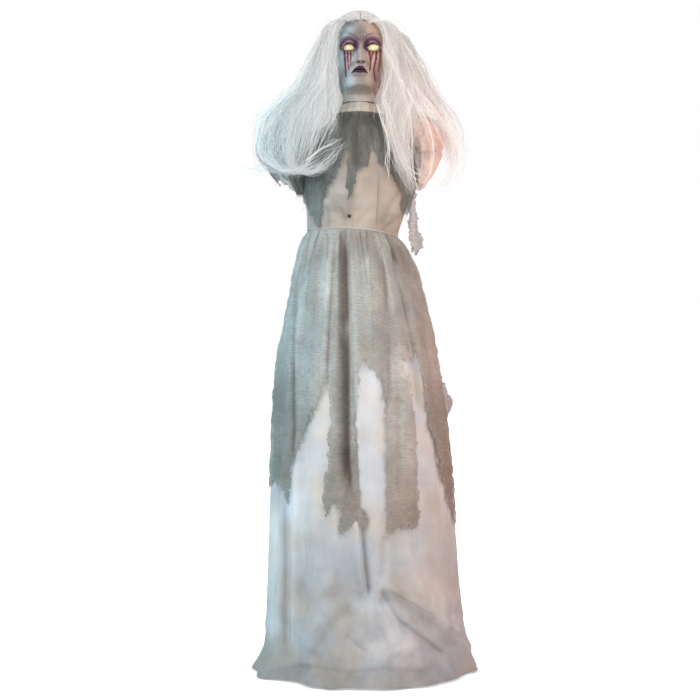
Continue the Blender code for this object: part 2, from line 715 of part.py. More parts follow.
# Gear train: motor pinion, compound idler and the output gear on the neck shaft
GEAR_MODULE = 0.00125
OUTPUT_TEETH = 36
IDLER_SMALL_TEETH = 12
IDLER_LARGE_TEETH = 30
PINION_TEETH = 10
ADDENDUM_SHARE = 0.85
DEDENDUM_SHARE = 1.20
TOOTH_TIP_SHARE = 0.14
TOOTH_ROOT_SHARE = 0.33
PLATE_DROP = 0.050
PLATE_THICKNESS = 0.003
LARGE_GEAR_RISE = 0.007
LARGE_GEAR_WIDTH = 0.006
GEAR_GAP = 0.0023
OUTPUT_GEAR_WIDTH = 0.0077
PLATE_BOTTOM = BOX_TOP - PLATE_DROP
LARGE_GEAR_LOW = PLATE_BOTTOM + LARGE_GEAR_RISE
LARGE_GEAR_HIGH = LARGE_GEAR_LOW + LARGE_GEAR_WIDTH
OUTPUT_GEAR_LOW = LARGE_GEAR_HIGH + GEAR_GAP
OUTPUT_GEAR_HIGH = OUTPUT_GEAR_LOW + OUTPUT_GEAR_WIDTH
SHAFT_RADIUS = 0.004
SHAFT_FLANGE_RADIUS = 0.008
SHAFT_UNDER_PLATE = 0.006
SHAFT_INTO_HEAD = 0.029
SHAFT_BOTTOM = PLATE_BOTTOM - SHAFT_UNDER_PLATE
SHAFT_TOP = NECK_SEAM_HEIGHT + SHAFT_INTO_HEAD
BUSH_RADIUS = 0.007
BUSH_FLANGE_RADIUS = 0.0095
BUSH_FLANGE = 0.002
IDLER_PIN_RADIUS = 0.002
IDLER_PIN_HEAD_RADIUS = 0.004
IDLER_PIN_HEAD = 0.001
IDLER_HUB_RADIUS = 0.005
MOTOR_RADIUS = 0.012
MOTOR_LENGTH = 0.031
MOTOR_SHAFT_RADIUS = 0.0015
MOTOR_SHAFT_DEPTH = 0.010
IDLER_AT = (GEAR_MODULE * (OUTPUT_TEETH + IDLER_SMALL_TEETH) / 2, 0)
MOTOR_AT = (IDLER_AT[0], GEAR_MODULE * (IDLER_LARGE_TEETH + PINION_TEETH) / 2)


def gear_shape(teeth, low, high, phase):
    """Straight-flanked spur gear with one tooth at the phase angle."""
    pitch_radius = GEAR_MODULE * teeth / 2
    tip = pitch_radius + GEAR_MODULE * ADDENDUM_SHARE
    root = pitch_radius - GEAR_MODULE * DEDENDUM_SHARE
    step = tau / teeth
    points = []
    for number in range(teeth):
        middle = phase + step * number
        for radius, share in (
            (root, -TOOTH_ROOT_SHARE), (tip, -TOOTH_TIP_SHARE),
            (tip, TOOTH_TIP_SHARE), (root, TOOTH_ROOT_SHARE),
        ):
            angle = middle + step * share
            points.append((radius * cos(angle), radius * sin(angle)))
    shape = bmesh.new()
    base = shape.faces.new([shape.verts.new((x, y, low)) for x, y in points])
    made = bmesh.ops.extrude_face_region(shape, geom=[base])
    lifted = [part for part in made["geom"] if isinstance(part, bmesh.types.BMVert)]
    bmesh.ops.translate(shape, vec=(0, 0, high - low), verts=lifted)
    return shape


def bore(piece, radius, low, high, at=(0, 0, 0), sides=ROUND_SIDES):
    hole = rod_shape(radius, low - OVERRUN, high + OVERRUN, sides)
    cut(piece, place(f"{piece.name}_bore", hole, "grey_plastic", at))


def gear_plate():
    low = (-BOX_HALF_WIDTH + BOX_WALL + FIT, -BOX_FRONT + BOX_WALL + FIT, PLATE_BOTTOM)
    high = (BOX_HALF_WIDTH - BOX_WALL - FIT, BOX_REAR - BOX_WALL - FIT, PLATE_BOTTOM + PLATE_THICKNESS)
    plate = place("gear_plate", box_shape(low, high), "zinc_steel")
    for name, radius, (x, y) in (
        ("bush", BUSH_RADIUS + FIT, (0, 0)),
        ("pin", IDLER_PIN_RADIUS + FIT, IDLER_AT),
        ("motor", MOTOR_SHAFT_RADIUS + RUNNING_GAP, MOTOR_AT),
    ):
        hole = rod_shape(radius, low[2] - OVERRUN, high[2] + OVERRUN)
        cut(plate, place(f"plate_{name}_hole", hole, "zinc_steel", (x, y, 0)))


def bushes():
    for name, seat, depth in (
        ("bush_lower", PLATE_BOTTOM + PLATE_THICKNESS, PLATE_THICKNESS),
        ("bush_upper", BOX_TOP, BOX_WALL),
    ):
        inner = SHAFT_RADIUS + FIT
        outline = [
            (inner, seat - depth), (BUSH_RADIUS, seat - depth), (BUSH_RADIUS, seat + FIT),
            (BUSH_FLANGE_RADIUS, seat + FIT), (BUSH_FLANGE_RADIUS, seat + FIT + BUSH_FLANGE),
            (inner, seat + FIT + BUSH_FLANGE),
        ]
        place(name, turned_shape(outline), "white_nylon")


def neck_shaft():
    flange_low = PLATE_BOTTOM + PLATE_THICKNESS + FIT + BUSH_FLANGE + FIT
    flange_high = OUTPUT_GEAR_LOW - FIT
    outline = [
        (0, SHAFT_BOTTOM), (SHAFT_RADIUS, SHAFT_BOTTOM), (SHAFT_RADIUS, flange_low),
        (SHAFT_FLANGE_RADIUS, flange_low), (SHAFT_FLANGE_RADIUS, flange_high),
        (SHAFT_RADIUS, flange_high), (SHAFT_RADIUS, SHAFT_TOP), (0, SHAFT_TOP),
    ]
    place("neck_shaft", turned_shape(outline), "zinc_steel")


def gears():
    output = place("output_gear", gear_shape(OUTPUT_TEETH, OUTPUT_GEAR_LOW, OUTPUT_GEAR_HIGH, 0),
                   "white_nylon")
    bore(output, SHAFT_RADIUS + FIT, OUTPUT_GEAR_LOW, OUTPUT_GEAR_HIGH)

    idler_at = (*IDLER_AT, 0)
    plate_top = PLATE_BOTTOM + PLATE_THICKNESS
    large = gear_shape(IDLER_LARGE_TEETH, LARGE_GEAR_LOW, LARGE_GEAR_HIGH, tau / IDLER_LARGE_TEETH / 2)
    idler = place("idler_gear", large, "white_nylon", idler_at)
    overlap = (LARGE_GEAR_HIGH - LARGE_GEAR_LOW) / 2
    small = gear_shape(IDLER_SMALL_TEETH, LARGE_GEAR_HIGH - overlap, OUTPUT_GEAR_HIGH,
                       tau / IDLER_SMALL_TEETH / 2)
    fuse(idler, place("idler_small", small, "white_nylon", idler_at))
    hub = rod_shape(IDLER_HUB_RADIUS, plate_top + FIT, LARGE_GEAR_LOW + overlap)
    fuse(idler, place("idler_hub", hub, "white_nylon", idler_at))
    bore(idler, IDLER_PIN_RADIUS + FIT, plate_top, OUTPUT_GEAR_HIGH, idler_at)
    pin = [
        (0, PLATE_BOTTOM - FIT - IDLER_PIN_HEAD),
        (IDLER_PIN_HEAD_RADIUS, PLATE_BOTTOM - FIT - IDLER_PIN_HEAD),
        (IDLER_PIN_HEAD_RADIUS, PLATE_BOTTOM - FIT), (IDLER_PIN_RADIUS, PLATE_BOTTOM - FIT),
        (IDLER_PIN_RADIUS, OUTPUT_GEAR_HIGH), (0, OUTPUT_GEAR_HIGH),
    ]
    place("idler_pin", turned_shape(pin), "zinc_steel", idler_at)

    motor_at = (*MOTOR_AT, 0)
    pinion = place("motor_pinion", gear_shape(PINION_TEETH, LARGE_GEAR_LOW, LARGE_GEAR_HIGH, 0),
                   "white_nylon", motor_at)
    motor_top = PLATE_BOTTOM - FIT
    stem = rod_shape(MOTOR_SHAFT_RADIUS, motor_top - MOTOR_SHAFT_DEPTH + FIT, LARGE_GEAR_HIGH + FIT)
    fuse(pinion, place("pinion_stem", stem, "zinc_steel", motor_at))
    can = place("gear_motor", rod_shape(MOTOR_RADIUS, motor_top - MOTOR_LENGTH, motor_top),
                "zinc_steel", motor_at)
    well = rod_shape(MOTOR_SHAFT_RADIUS + FIT, motor_top - MOTOR_SHAFT_DEPTH, motor_top + OVERRUN)
    cut(can, place("motor_well", well, "zinc_steel", motor_at))


# Neck base: the fixed collar under the turning head
NECK_RADIUS = 0.0435
NECK_FOOT_RADIUS = 0.052
NECK_FLARE_RADIUS = 0.0575
NECK_WAIST_RADIUS = 0.050
NECK_WALL = 0.003
NECK_WAIST_SHARE = 0.62


def neck_base():
    foot = BOX_TOP + FIT
    top = NECK_SEAM_HEIGHT - RUNNING_GAP
    bend = NECKLINE_HEIGHT + (top - NECKLINE_HEIGHT) * NECK_WAIST_SHARE
    eye = SHAFT_RADIUS + RUNNING_GAP
    outline = [
        (NECK_FOOT_RADIUS, foot), (NECK_FLARE_RADIUS, NECKLINE_HEIGHT), (NECK_WAIST_RADIUS, bend),
        (NECK_RADIUS, top), (eye, top), (eye, top - NECK_WALL), (NECK_RADIUS - NECK_WALL, top - NECK_WALL),
        (NECK_WAIST_RADIUS - NECK_WALL, bend - NECK_WALL),
        (NECK_FLARE_RADIUS - NECK_WALL, NECKLINE_HEIGHT - NECK_WALL), (NECK_FOOT_RADIUS - NECK_WALL, foot),
    ]
    place("neck_base", turned_shape(outline), "pale_skin")


# Bodice, shawl and stub arms: shares run from the waist (0) to the neckline (1)
BODICE_COLUMNS = 28
BODICE_SHARES = (
    (0.00, 0.000, 0.000), (0.13, 0.35, 0.30), (0.35, 1.00, 0.90), (0.62, 1.02, 1.00),
    (0.80, 0.45, 0.55), (0.92, -0.80, -0.70), (1.00, -1.00, -1.00),
)
BODICE_LEAN_SHARES = ((0.00, -1.0), (0.35, 0.0), (1.00, 0.0))
BODICE_THICKNESS = 0.0022
SHAWL_THICKNESS = 0.0020
SHAWL_LIFT = 0.0042
SHAWL_GAP_SHARE = 0.55
SHAWL_FIXED_ROWS = 4
SHAWL_FREE_ROWS = 3
# Ragged strips: middle angle and half-width in degrees, and the share of the bodice they reach
SHAWL_STRIP_SHARES = (
    (-140, 24, 0.32), (-92, 15, 0.25), (-46, 25, 0.23), (0, 18, 0.40), (42, 22, 0.30),
    (88, 22, 0.36), (132, 22, 0.28), (180, 16, 0.45),
)
ARM_RADIUS = 0.006
ARM_DROP = 0.115
ARM_HEIGHT = NECKLINE_HEIGHT - ARM_DROP
ARM_REACH = 0.205
ARM_START = 0.052


def bodice_half_sizes(share):
    """Half width and half depth of the bodice: waist, bust and neckline are given sizes."""
    toward_width, toward_depth = from_shares(BODICE_SHARES, share)
    neckline = NECK_FLARE_RADIUS + FIT + BODICE_THICKNESS
    sizes = []
    for toward, waist, bust in (
        (toward_width, WAIST_HALF_WIDTH, BUST_HALF_WIDTH),
        (toward_depth, WAIST_HALF_DEPTH, BUST_HALF_DEPTH),
    ):
        start, end = (waist, bust) if toward >= 0 else (waist, neckline)
        sizes.append(start + (end - start) * abs(toward))
    return sizes


def bodice_point(share, angle, lift=0.0):
    half_width, half_depth = bodice_half_sizes(share)
    stand = from_shares(BODICE_LEAN_SHARES, share)[0] * WAIST_LEAN
    return (
        stand + (half_width + lift) * cos(angle),
        (half_depth + lift) * sin(angle),
        WAIST_HEIGHT + BODICE_HEIGHT * share,
    )


def bodice_rows(lift=0.0):
    return [
        [bodice_point(line[0], angle, lift) for angle in angles(BODICE_COLUMNS)]
        for line in reversed(BODICE_SHARES)
    ]


def arm_hole(piece, name, at_left):
    """A round hole where the arm goes through a cloth."""
    turn = along_x(-1 if at_left else 1)
    hole = rod_shape(ARM_RADIUS + FIT, BOX_HALF_WIDTH, ARM_REACH, ROUND_SIDES)
    cut(piece, place(name, hole, "zinc_steel", (0, 0, ARM_HEIGHT), turn))


def bodice():
    shell = place("bodice", shell_shape(bodice_rows(), BODICE_THICKNESS), "white_nonwoven")
    for at_left in (True, False):
        arm_hole(shell, f"bodice_armhole_{at_left}", at_left)
    turn, at = sensor_place()
    hole = rod_shape(LENS_RADIUS + FIT, -SENSOR_DEPTH, SENSOR_DEPTH)
    cut(shell, place("bodice_sensor_hole", hole, "black_plastic", at, turn))


def shawl_reach(angle):
    reach = SHAWL_GAP_SHARE
    for middle, half, share in SHAWL_STRIP_SHARES:
        away = abs((angle - radians(middle) + pi) % tau - pi) / radians(half)
        if away < 1:
            reach = min(reach, SHAWL_GAP_SHARE + (share - SHAWL_GAP_SHARE) * (1 - away ** 4))
    return reach + RAGGED_SHARE * sin(RAGGED_WAVES * angle)


def shawl():
    fixed = [line[0] for line in reversed(BODICE_SHARES)][:SHAWL_FIXED_ROWS]
    rows = []
    for number in range(SHAWL_FIXED_ROWS + SHAWL_FREE_ROWS):
        row = []
        for angle in angles(BODICE_COLUMNS):
            if number < SHAWL_FIXED_ROWS:
                share = fixed[number]
            else:
                part = (number - SHAWL_FIXED_ROWS + 1) / SHAWL_FREE_ROWS
                share = fixed[-1] + (shawl_reach(angle) - fixed[-1]) * part
            grown = min(1, (1 - share) / (1 - fixed[1]))
            row.append(bodice_point(share, angle, FIT + SHAWL_THICKNESS + SHAWL_LIFT * grown))
        rows.append(row)
    cloth = place("gauze_shawl", shell_shape(rows, SHAWL_THICKNESS), "grey_gauze")
    for at_left in (True, False):
        arm_hole(cloth, f"shawl_armhole_{at_left}", at_left)


def arms():
    for name, sign in (("arm_left", -1), ("arm_right", 1)):
        inner = ARM_RADIUS - TUBE_WALL
        outline = [
            (ARM_RADIUS, ARM_START), (ARM_RADIUS, ARM_REACH), (inner, ARM_REACH), (inner, ARM_START),
        ]
        place(name, turned_shape(outline), "zinc_steel", (0, 0, ARM_HEIGHT), along_x(sign))


# Stuffed stub sleeves on the arms
SLEEVE_LEFT_ACROSS = -0.191
SLEEVE_LEFT_RISE = 0.012
SLEEVE_LEFT_AT = (SLEEVE_LEFT_ACROSS, ARM_HEIGHT + SLEEVE_LEFT_RISE)
SLEEVE_RIGHT_ACROSS = 0.172
SLEEVE_RIGHT_RISE = 0.018
SLEEVE_RIGHT_AT = (SLEEVE_RIGHT_ACROSS, ARM_HEIGHT + SLEEVE_RIGHT_RISE)
SLEEVE_HALF_WIDTH = 0.055
SLEEVE_HALF_DEPTH = 0.060
SLEEVE_HALF_HEIGHT = 0.098
SLEEVE_TAPER_SHARE = 0.35
SLEEVE_EASE = 0.0006
SLEEVE_SEGMENTS = 20
SLEEVE_RINGS = 10


def sleeves():
    for name, sign, (x, z) in (
        ("sleeve_left", -1, SLEEVE_LEFT_AT), ("sleeve_right", 1, SLEEVE_RIGHT_AT),
    ):
        shape = bmesh.new()
        bmesh.ops.create_uvsphere(shape, u_segments=SLEEVE_SEGMENTS, v_segments=SLEEVE_RINGS, radius=1)
        for vert in shape.verts:
            narrow = 1 - SLEEVE_TAPER_SHARE * max(0, -vert.co.z) ** 2
            vert.co.x *= SLEEVE_HALF_WIDTH * narrow
            vert.co.y *= SLEEVE_HALF_DEPTH * narrow
            vert.co.z *= SLEEVE_HALF_HEIGHT
        sleeve = place(name, shape, "pale_sleeve", (x, 0, z))
        clear = SHAWL_THICKNESS + SHAWL_LIFT + FIT + SLEEVE_EASE
        cut(sleeve, place(f"{name}_side", capped_shape(bodice_rows(clear)), "pale_sleeve"))
        hole = rod_shape(ARM_RADIUS + FIT, BOX_HALF_WIDTH, ARM_REACH + FIT)
        cut(sleeve, place(f"{name}_bore", hole, "pale_sleeve", (0, 0, ARM_HEIGHT), along_x(sign)))


# Gauze tail under the right sleeve
TAIL_HALF_WIDTH = 0.018
TAIL_LENGTH = 0.160
TAIL_THICKNESS = 0.002
TAIL_DRIFT = 0.012
TAIL_SHARES = (
    (0.0, -0.45, 0.45), (0.2, -0.6, 0.55), (0.4, -0.5, 0.8), (0.6, -0.75, 0.7), (0.8, -0.6, 1.0),
    (0.93, -0.8, 0.75), (1.0, -0.3, 0.4),
)


def gauze_tail():
    x, z = SLEEVE_RIGHT_AT
    top = z - SLEEVE_HALF_HEIGHT - FIT
    left = []
    right = []
    for down, low, high in TAIL_SHARES:
        drift = x + TAIL_DRIFT * down
        left.append((drift + TAIL_HALF_WIDTH * low, top - TAIL_LENGTH * down))
        right.append((drift + TAIL_HALF_WIDTH * high, top - TAIL_LENGTH * down))
    outline = left + right[::-1]
    shape = bmesh.new()
    near = [shape.verts.new((px, -TAIL_THICKNESS / 2, pz)) for px, pz in outline]
    far = [shape.verts.new((px, TAIL_THICKNESS / 2, pz)) for px, pz in outline]
    shape.faces.new(near)
    shape.faces.new(far[::-1])
    for number in range(len(outline)):
        after = (number + 1) % len(outline)
        shape.faces.new((near[number], far[number], far[after], near[after]))
    place("gauze_tail", shape, "grey_gauze")


# Sensor in the bodice
SENSOR_RISE = 0.036
SENSOR_ACROSS = -0.0252
LENS_RADIUS = 0.005
LENS_OUT = 0.0025
SENSOR_RADIUS = 0.009
SENSOR_DEPTH = 0.012
SENSOR_BACK = 0.0030


def sensor_place():
    """The turn to the outward direction at the sensor, and the point on the bodice's face."""
    share = SENSOR_RISE / BODICE_HEIGHT
    half_width, half_depth = bodice_half_sizes(share)
    centre = bodice_point(share, pi / 2)[0]
    across = (SENSOR_ACROSS - centre) / half_width
    angle = -pi / 2 + across
    point = Vector(bodice_point(share, angle))
    normal = atan2(half_width * sin(angle), half_depth * cos(angle))
    return Matrix.Rotation(normal, 4, "Z") @ along_x(), point


def sensor():
    turn, at = sensor_place()
    seat = -BODICE_THICKNESS - FIT - SENSOR_BACK / 4
    housing = rod_shape(SENSOR_RADIUS, seat - SENSOR_DEPTH, seat)
    body = place("sensor_housing", housing, "black_plastic", at, turn)
    well = rod_shape(LENS_RADIUS + FIT, seat - SENSOR_BACK, seat + OVERRUN)
    cut(body, place("sensor_well", well, "black_plastic", at, turn))
    bulge = LENS_OUT * 2 / 3
    outline = [
        (0, seat - SENSOR_BACK + FIT), (LENS_RADIUS, seat - SENSOR_BACK + FIT),
        (LENS_RADIUS, LENS_OUT - bulge), (LENS_RADIUS * 3 / 4, LENS_OUT - bulge / 3), (0, LENS_OUT),
    ]
    place("sensor_lens", turned_shape(outline), "black_plastic", at, turn)


# Head: rows of shares from the neck seam (0) to the crown (1)
HEAD_COLUMNS = 24
HEAD_SHARES = (
    (0.000, 0.584, 0.448, 0.494), (0.055, 0.570, 0.440, 0.500), (0.080, 0.560, 0.800, 0.530),
    (0.118, 0.600, 0.925, 0.570), (0.210, 0.740, 0.930, 0.700), (0.300, 0.850, 0.965, 0.820),
    (0.400, 0.920, 0.960, 0.920), (0.490, 0.960, 0.930, 0.980), (0.570, 0.985, 0.870, 1.000),
    (0.660, 1.000, 0.950, 1.000), (0.790, 0.960, 0.900, 0.950), (0.900, 0.780, 0.700, 0.780),
    (0.965, 0.480, 0.420, 0.500),
)
CHIN_SHARE = 0.118
NOSE_OUT = 0.015
NOSE_SHARES = ((0.00, 0.0), (0.30, 0.0), (0.40, 1.0), (0.49, 0.65), (0.57, 0.2), (0.66, 0.0))
NOSE_WIDTH = radians(16)
FACE_FULLNESS = 2.6
HEAD_WALL = 0.003
HAIR_CAP_THICKNESS = 0.009
EYE_HOLE_RADIUS = 0.0095
EYE_RADIUS = 0.0145
EYE_BEHIND = 0.0122
EYE_WALL = 0.0015
EYE_STEPS = 4
HUB_DISC_HEIGHT = 0.008
HUB_DISC_RISE = 0.007
HUB_BOSS_RADIUS = 0.010
HUB_BOSS_ROOF = 0.002
LED_BAR_HALF_HEIGHT = 0.006
LED_BAR_THICKNESS = 0.002
LED_RADIUS = 0.0025
LED_LENGTH = 0.006


def head_surface():
    """Open skin of the head, from the ring at the neck seam to the crown, in triangles."""
    shape = bmesh.new()
    grid = []
    for share, wide, front, back in HEAD_SHARES:
        line = []
        for angle in angles(HEAD_COLUMNS):
            x = HEAD_HALF_WIDTH * wide * cos(angle)
            if sin(angle) < 0:
                full = 2 / (2 + (FACE_FULLNESS - 2) * min(1, share / CHIN_SHARE))
                x = HEAD_HALF_WIDTH * wide * abs(cos(angle)) ** full * (1 if x > 0 else -1)
                away = abs(angle + pi / 2) / NOSE_WIDTH
                bump = NOSE_OUT * from_shares(NOSE_SHARES, share)[0]
                y = -FACE_DEPTH * front * abs(sin(angle)) ** full - bump * max(0, 1 - away ** 2)
            else:
                y = HEAD_BACK_DEPTH * back * sin(angle)
            line.append(shape.verts.new((x, y, NECK_SEAM_HEIGHT + HEAD_HEIGHT * share)))
        grid.append(line)
    pole = shape.verts.new((0, 0, CROWN_HEIGHT))
    for column in range(HEAD_COLUMNS):
        right = (column + 1) % HEAD_COLUMNS
        for lower, upper in zip(grid, grid[1:]):
            shape.faces.new((lower[column], lower[right], upper[right]))
            shape.faces.new((lower[column], upper[right], upper[column]))
        shape.faces.new((grid[-1][column], grid[-1][right], pole))
    shape.normal_update()
    return shape


def grown(shape, distance):
    """Push every point out along its normal."""
    moves = [(vert, vert.normal * distance) for vert in shape.verts]
    for vert, move in moves:
        vert.co += move
    return shape


def thicken(piece, thickness, outward):
    step = piece.modifiers.new("thickness", "SOLIDIFY")
    step.thickness = thickness
    step.offset = 1 if outward else -1


def eye_place(side):
    """Middle of the eye's ball: straight behind the skin, along the skin's own slant."""
    wide, front, _ = from_shares(HEAD_SHARES, EYE_SHARE)
    half_width = HEAD_HALF_WIDTH * wide
    depth = FACE_DEPTH * front
    across = EYE_SPACING / 2 / half_width
    along = (1 - across ** FACE_FULLNESS) ** (1 / FACE_FULLNESS)
    slope = depth / half_width * (across / along) ** (FACE_FULLNESS - 1)
    behind = HEAD_WALL + EYE_BEHIND
    inward = behind * slope / hypot(1, slope)
    return side * (EYE_SPACING / 2 - inward), -depth * along + behind / hypot(1, slope)


def head():
    shell = place("head_shell", head_surface(), "pale_skin")
    thicken(shell, HEAD_WALL, outward=False)
    for side in (-1, 1):
        front = -eye_place(side)[1]
        hole = rod_shape(EYE_HOLE_RADIUS, front, front + 2 * EYE_RADIUS)
        at = (side * EYE_SPACING / 2, 0, EYE_HEIGHT)
        cut(shell, place(f"eye_hole_{side}", hole, "pale_skin", at, along_front()))


def eyes():
    """Hollow half-balls behind the eye holes, and the bar with their two LEDs."""
    quarter = [pi / 2 * step / EYE_STEPS for step in range(EYE_STEPS + 1)]
    outer = [(EYE_RADIUS * cos(turn), EYE_RADIUS * sin(turn)) for turn in quarter]
    inner_radius = EYE_RADIUS - EYE_WALL
    inner = [(inner_radius * cos(turn), inner_radius * sin(turn)) for turn in reversed(quarter)]
    across, centre = eye_place(1)
    near = centre + FIT
    half = across + EYE_RADIUS
    plate = box_shape(
        (-half, near, EYE_HEIGHT - LED_BAR_HALF_HEIGHT),
        (half, near + LED_BAR_THICKNESS, EYE_HEIGHT + LED_BAR_HALF_HEIGHT),
    )
    bar = place("led_board", plate, "pcb_green")
    for name, side in (("eye_left", -1), ("eye_right", 1)):
        at = (side * across, centre, EYE_HEIGHT)
        place(name, turned_shape(outer + inner), "eye_yellow", at, along_front())
        lamp = rod_shape(LED_RADIUS, -LED_BAR_THICKNESS / 2, LED_LENGTH, SMALL_SIDES)
        fuse(bar, place(f"{name}_lamp", lamp, "eye_yellow", (side * across, near, EYE_HEIGHT), along_front()))


def head_hub():
    """The disc inside the neck that fastens the head on its shaft."""
    disc = NECK_RADIUS - HEAD_WALL - DISC_EASE
    inner = SHAFT_RADIUS + FIT
    low = NECK_SEAM_HEIGHT + HUB_DISC_RISE
    boss_top = SHAFT_TOP + HUB_BOSS_ROOF
    outline = [
        (inner, low), (disc, low), (disc, low + HUB_DISC_HEIGHT), (HUB_BOSS_RADIUS, low + HUB_DISC_HEIGHT),
        (HUB_BOSS_RADIUS, boss_top), (0, boss_top), (0, SHAFT_TOP + FIT), (inner, SHAFT_TOP + FIT),
    ]
    place("head_hub", turned_shape(outline, FINE_SIDES), "grey_plastic")


# Hair: a cap on the skull, and three loose masses that hang from it
DISC_EASE = 0.0016
HAIRLINE_SHARES = ((0.0, 0.80), (0.30, 0.72), (0.42, 0.36), (0.75, 0.20), (1.0, 0.20))
LOBE_SEGMENTS = 14
# Each row: centre X, centre Y, rise over the neck seam, half width across X, half thickness across Y
HAIR_PATHS = {
    "hair_left": (
        (-0.050, -0.012, 0.200, 0.022, 0.018), (-0.085, -0.035, 0.150, 0.034, 0.026),
        (-0.118, -0.060, 0.075, 0.056, 0.028), (-0.150, -0.086, -0.005, 0.090, 0.022),
        (-0.178, -0.098, -0.075, 0.108, 0.020), (-0.200, -0.096, -0.145, 0.090, 0.018),
        (-0.178, -0.090, -0.193, 0.040, 0.012),
    ),
    "hair_right": (
        (0.050, -0.012, 0.200, 0.022, 0.018), (0.088, -0.035, 0.150, 0.036, 0.026),
        (0.124, -0.060, 0.075, 0.058, 0.028), (0.158, -0.086, -0.005, 0.084, 0.022),
        (0.180, -0.098, -0.075, 0.096, 0.020), (0.196, -0.096, -0.155, 0.084, 0.018),
        (0.204, -0.090, -0.220, 0.036, 0.012),
    ),
    "hair_back": (
        (0.000, 0.060, 0.205, 0.040, 0.020), (0.000, 0.095, 0.145, 0.080, 0.022),
        (0.000, 0.108, 0.065, 0.112, 0.024), (0.000, 0.122, -0.025, 0.138, 0.022),
        (0.000, 0.126, -0.115, 0.142, 0.020), (0.000, 0.122, -0.185, 0.100, 0.014),
    ),
}


def wig_crown():
    """The skull's own skin above the hairline, grown into a cap."""
    shape = grown(head_surface(), FIT)
    below = []
    for face in shape.faces:
        middle = face.calc_center_median()
        away = abs(atan2(middle.x, -middle.y)) / pi
        if (middle.z - NECK_SEAM_HEIGHT) / HEAD_HEIGHT < from_shares(HAIRLINE_SHARES, away)[0]:
            below.append(face)
    bmesh.ops.delete(shape, geom=below, context="FACES")
    cap = place("wig_crown", shape, "white_hair")
    thicken(cap, HAIR_CAP_THICKNESS, outward=True)


def hair():
    for name, path in HAIR_PATHS.items():
        rows = []
        for x, y, rise, half_width, half_thickness in path:
            rows.append([
                (x + half_width * cos(angle), y + half_thickness * sin(angle), NECK_SEAM_HEIGHT + rise)
                for angle in angles(LOBE_SEGMENTS)
            ])
        mass = place(name, capped_shape(rows), "white_hair")
        skull = grown(head_surface(), HAIR_CAP_THICKNESS + FIT * 3)
        rim = [edge for edge in skull.edges if edge.is_boundary]
        bmesh.ops.contextual_create(skull, geom=rim)
        cut(mass, place(f"{name}_skull", skull, "white_hair"))


def main():
    for old in list(bpy.data.objects):
        bpy.data.objects.remove(old)
    base_stand()
    mast()
    hoop()
    mast_socket()
    control_box()
    speaker()
    circuit_board()
    battery_tray()
    battery_door()
    power_switch()
    gear_plate()
    bushes()
    neck_shaft()
    gears()
    neck_base()
    arms()
    bodice()
    shawl()
    sleeves()
    gauze_tail()
    sensor()
    waistband()
    underskirt()
    overskirt()
    head()
    eyes()
    head_hub()
    wig_crown()
    hair()


main()
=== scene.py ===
import itertools
import math

import bpy
import numpy as np
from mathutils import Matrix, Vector


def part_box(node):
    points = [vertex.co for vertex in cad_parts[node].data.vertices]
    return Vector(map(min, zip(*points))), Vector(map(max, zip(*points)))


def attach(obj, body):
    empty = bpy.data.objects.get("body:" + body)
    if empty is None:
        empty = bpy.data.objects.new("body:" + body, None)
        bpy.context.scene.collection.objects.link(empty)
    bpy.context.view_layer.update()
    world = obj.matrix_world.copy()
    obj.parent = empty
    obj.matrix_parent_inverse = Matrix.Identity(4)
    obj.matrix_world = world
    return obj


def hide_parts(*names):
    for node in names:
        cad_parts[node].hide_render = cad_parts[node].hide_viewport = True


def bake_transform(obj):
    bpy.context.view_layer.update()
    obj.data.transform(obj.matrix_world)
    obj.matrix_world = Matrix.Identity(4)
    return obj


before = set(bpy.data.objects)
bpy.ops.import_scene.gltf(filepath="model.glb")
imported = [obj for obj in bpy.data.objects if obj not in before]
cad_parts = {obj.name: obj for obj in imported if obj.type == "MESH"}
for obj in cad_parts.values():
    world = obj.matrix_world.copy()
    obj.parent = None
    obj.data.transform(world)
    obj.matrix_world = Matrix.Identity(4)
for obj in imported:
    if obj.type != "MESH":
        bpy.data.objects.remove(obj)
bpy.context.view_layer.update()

# The photograph's frame: a level camera in front of the figure, all lengths in metres
CAMERA_X = -0.0234
CAMERA_DISTANCE = 3.2
CAMERA_HEIGHT = 0.818
FOCAL_PX = 1233.0
IMAGE_PX = 700.0
CENTRE_PX = IMAGE_PX / 2

# Heights and half sizes of the figure, as the fixed model has them
WAIST_HEIGHT = 1.120
SKIRT_TOP = 1.1197
WAIST_HALF = (0.1155, 0.0900)
SKIRT_WAIST_HALF = (0.1132, 0.0877)
HEM_HALF = (0.285, 0.248)
BODICE_HEIGHT = 0.305
BUST_HALF = (0.139, 0.0950)
NECKLINE_RADIUS = 0.0600
SEAM_HEIGHT = 1.455
HEAD_HEIGHT = 0.228
HEAD_HALF_WIDTH = 0.0745
FACE_DEPTH = 0.097
HEAD_BACK_DEPTH = 0.088
FACE_FULLNESS = 2.6
EYE_X = 0.0306
LEAN = 0.017

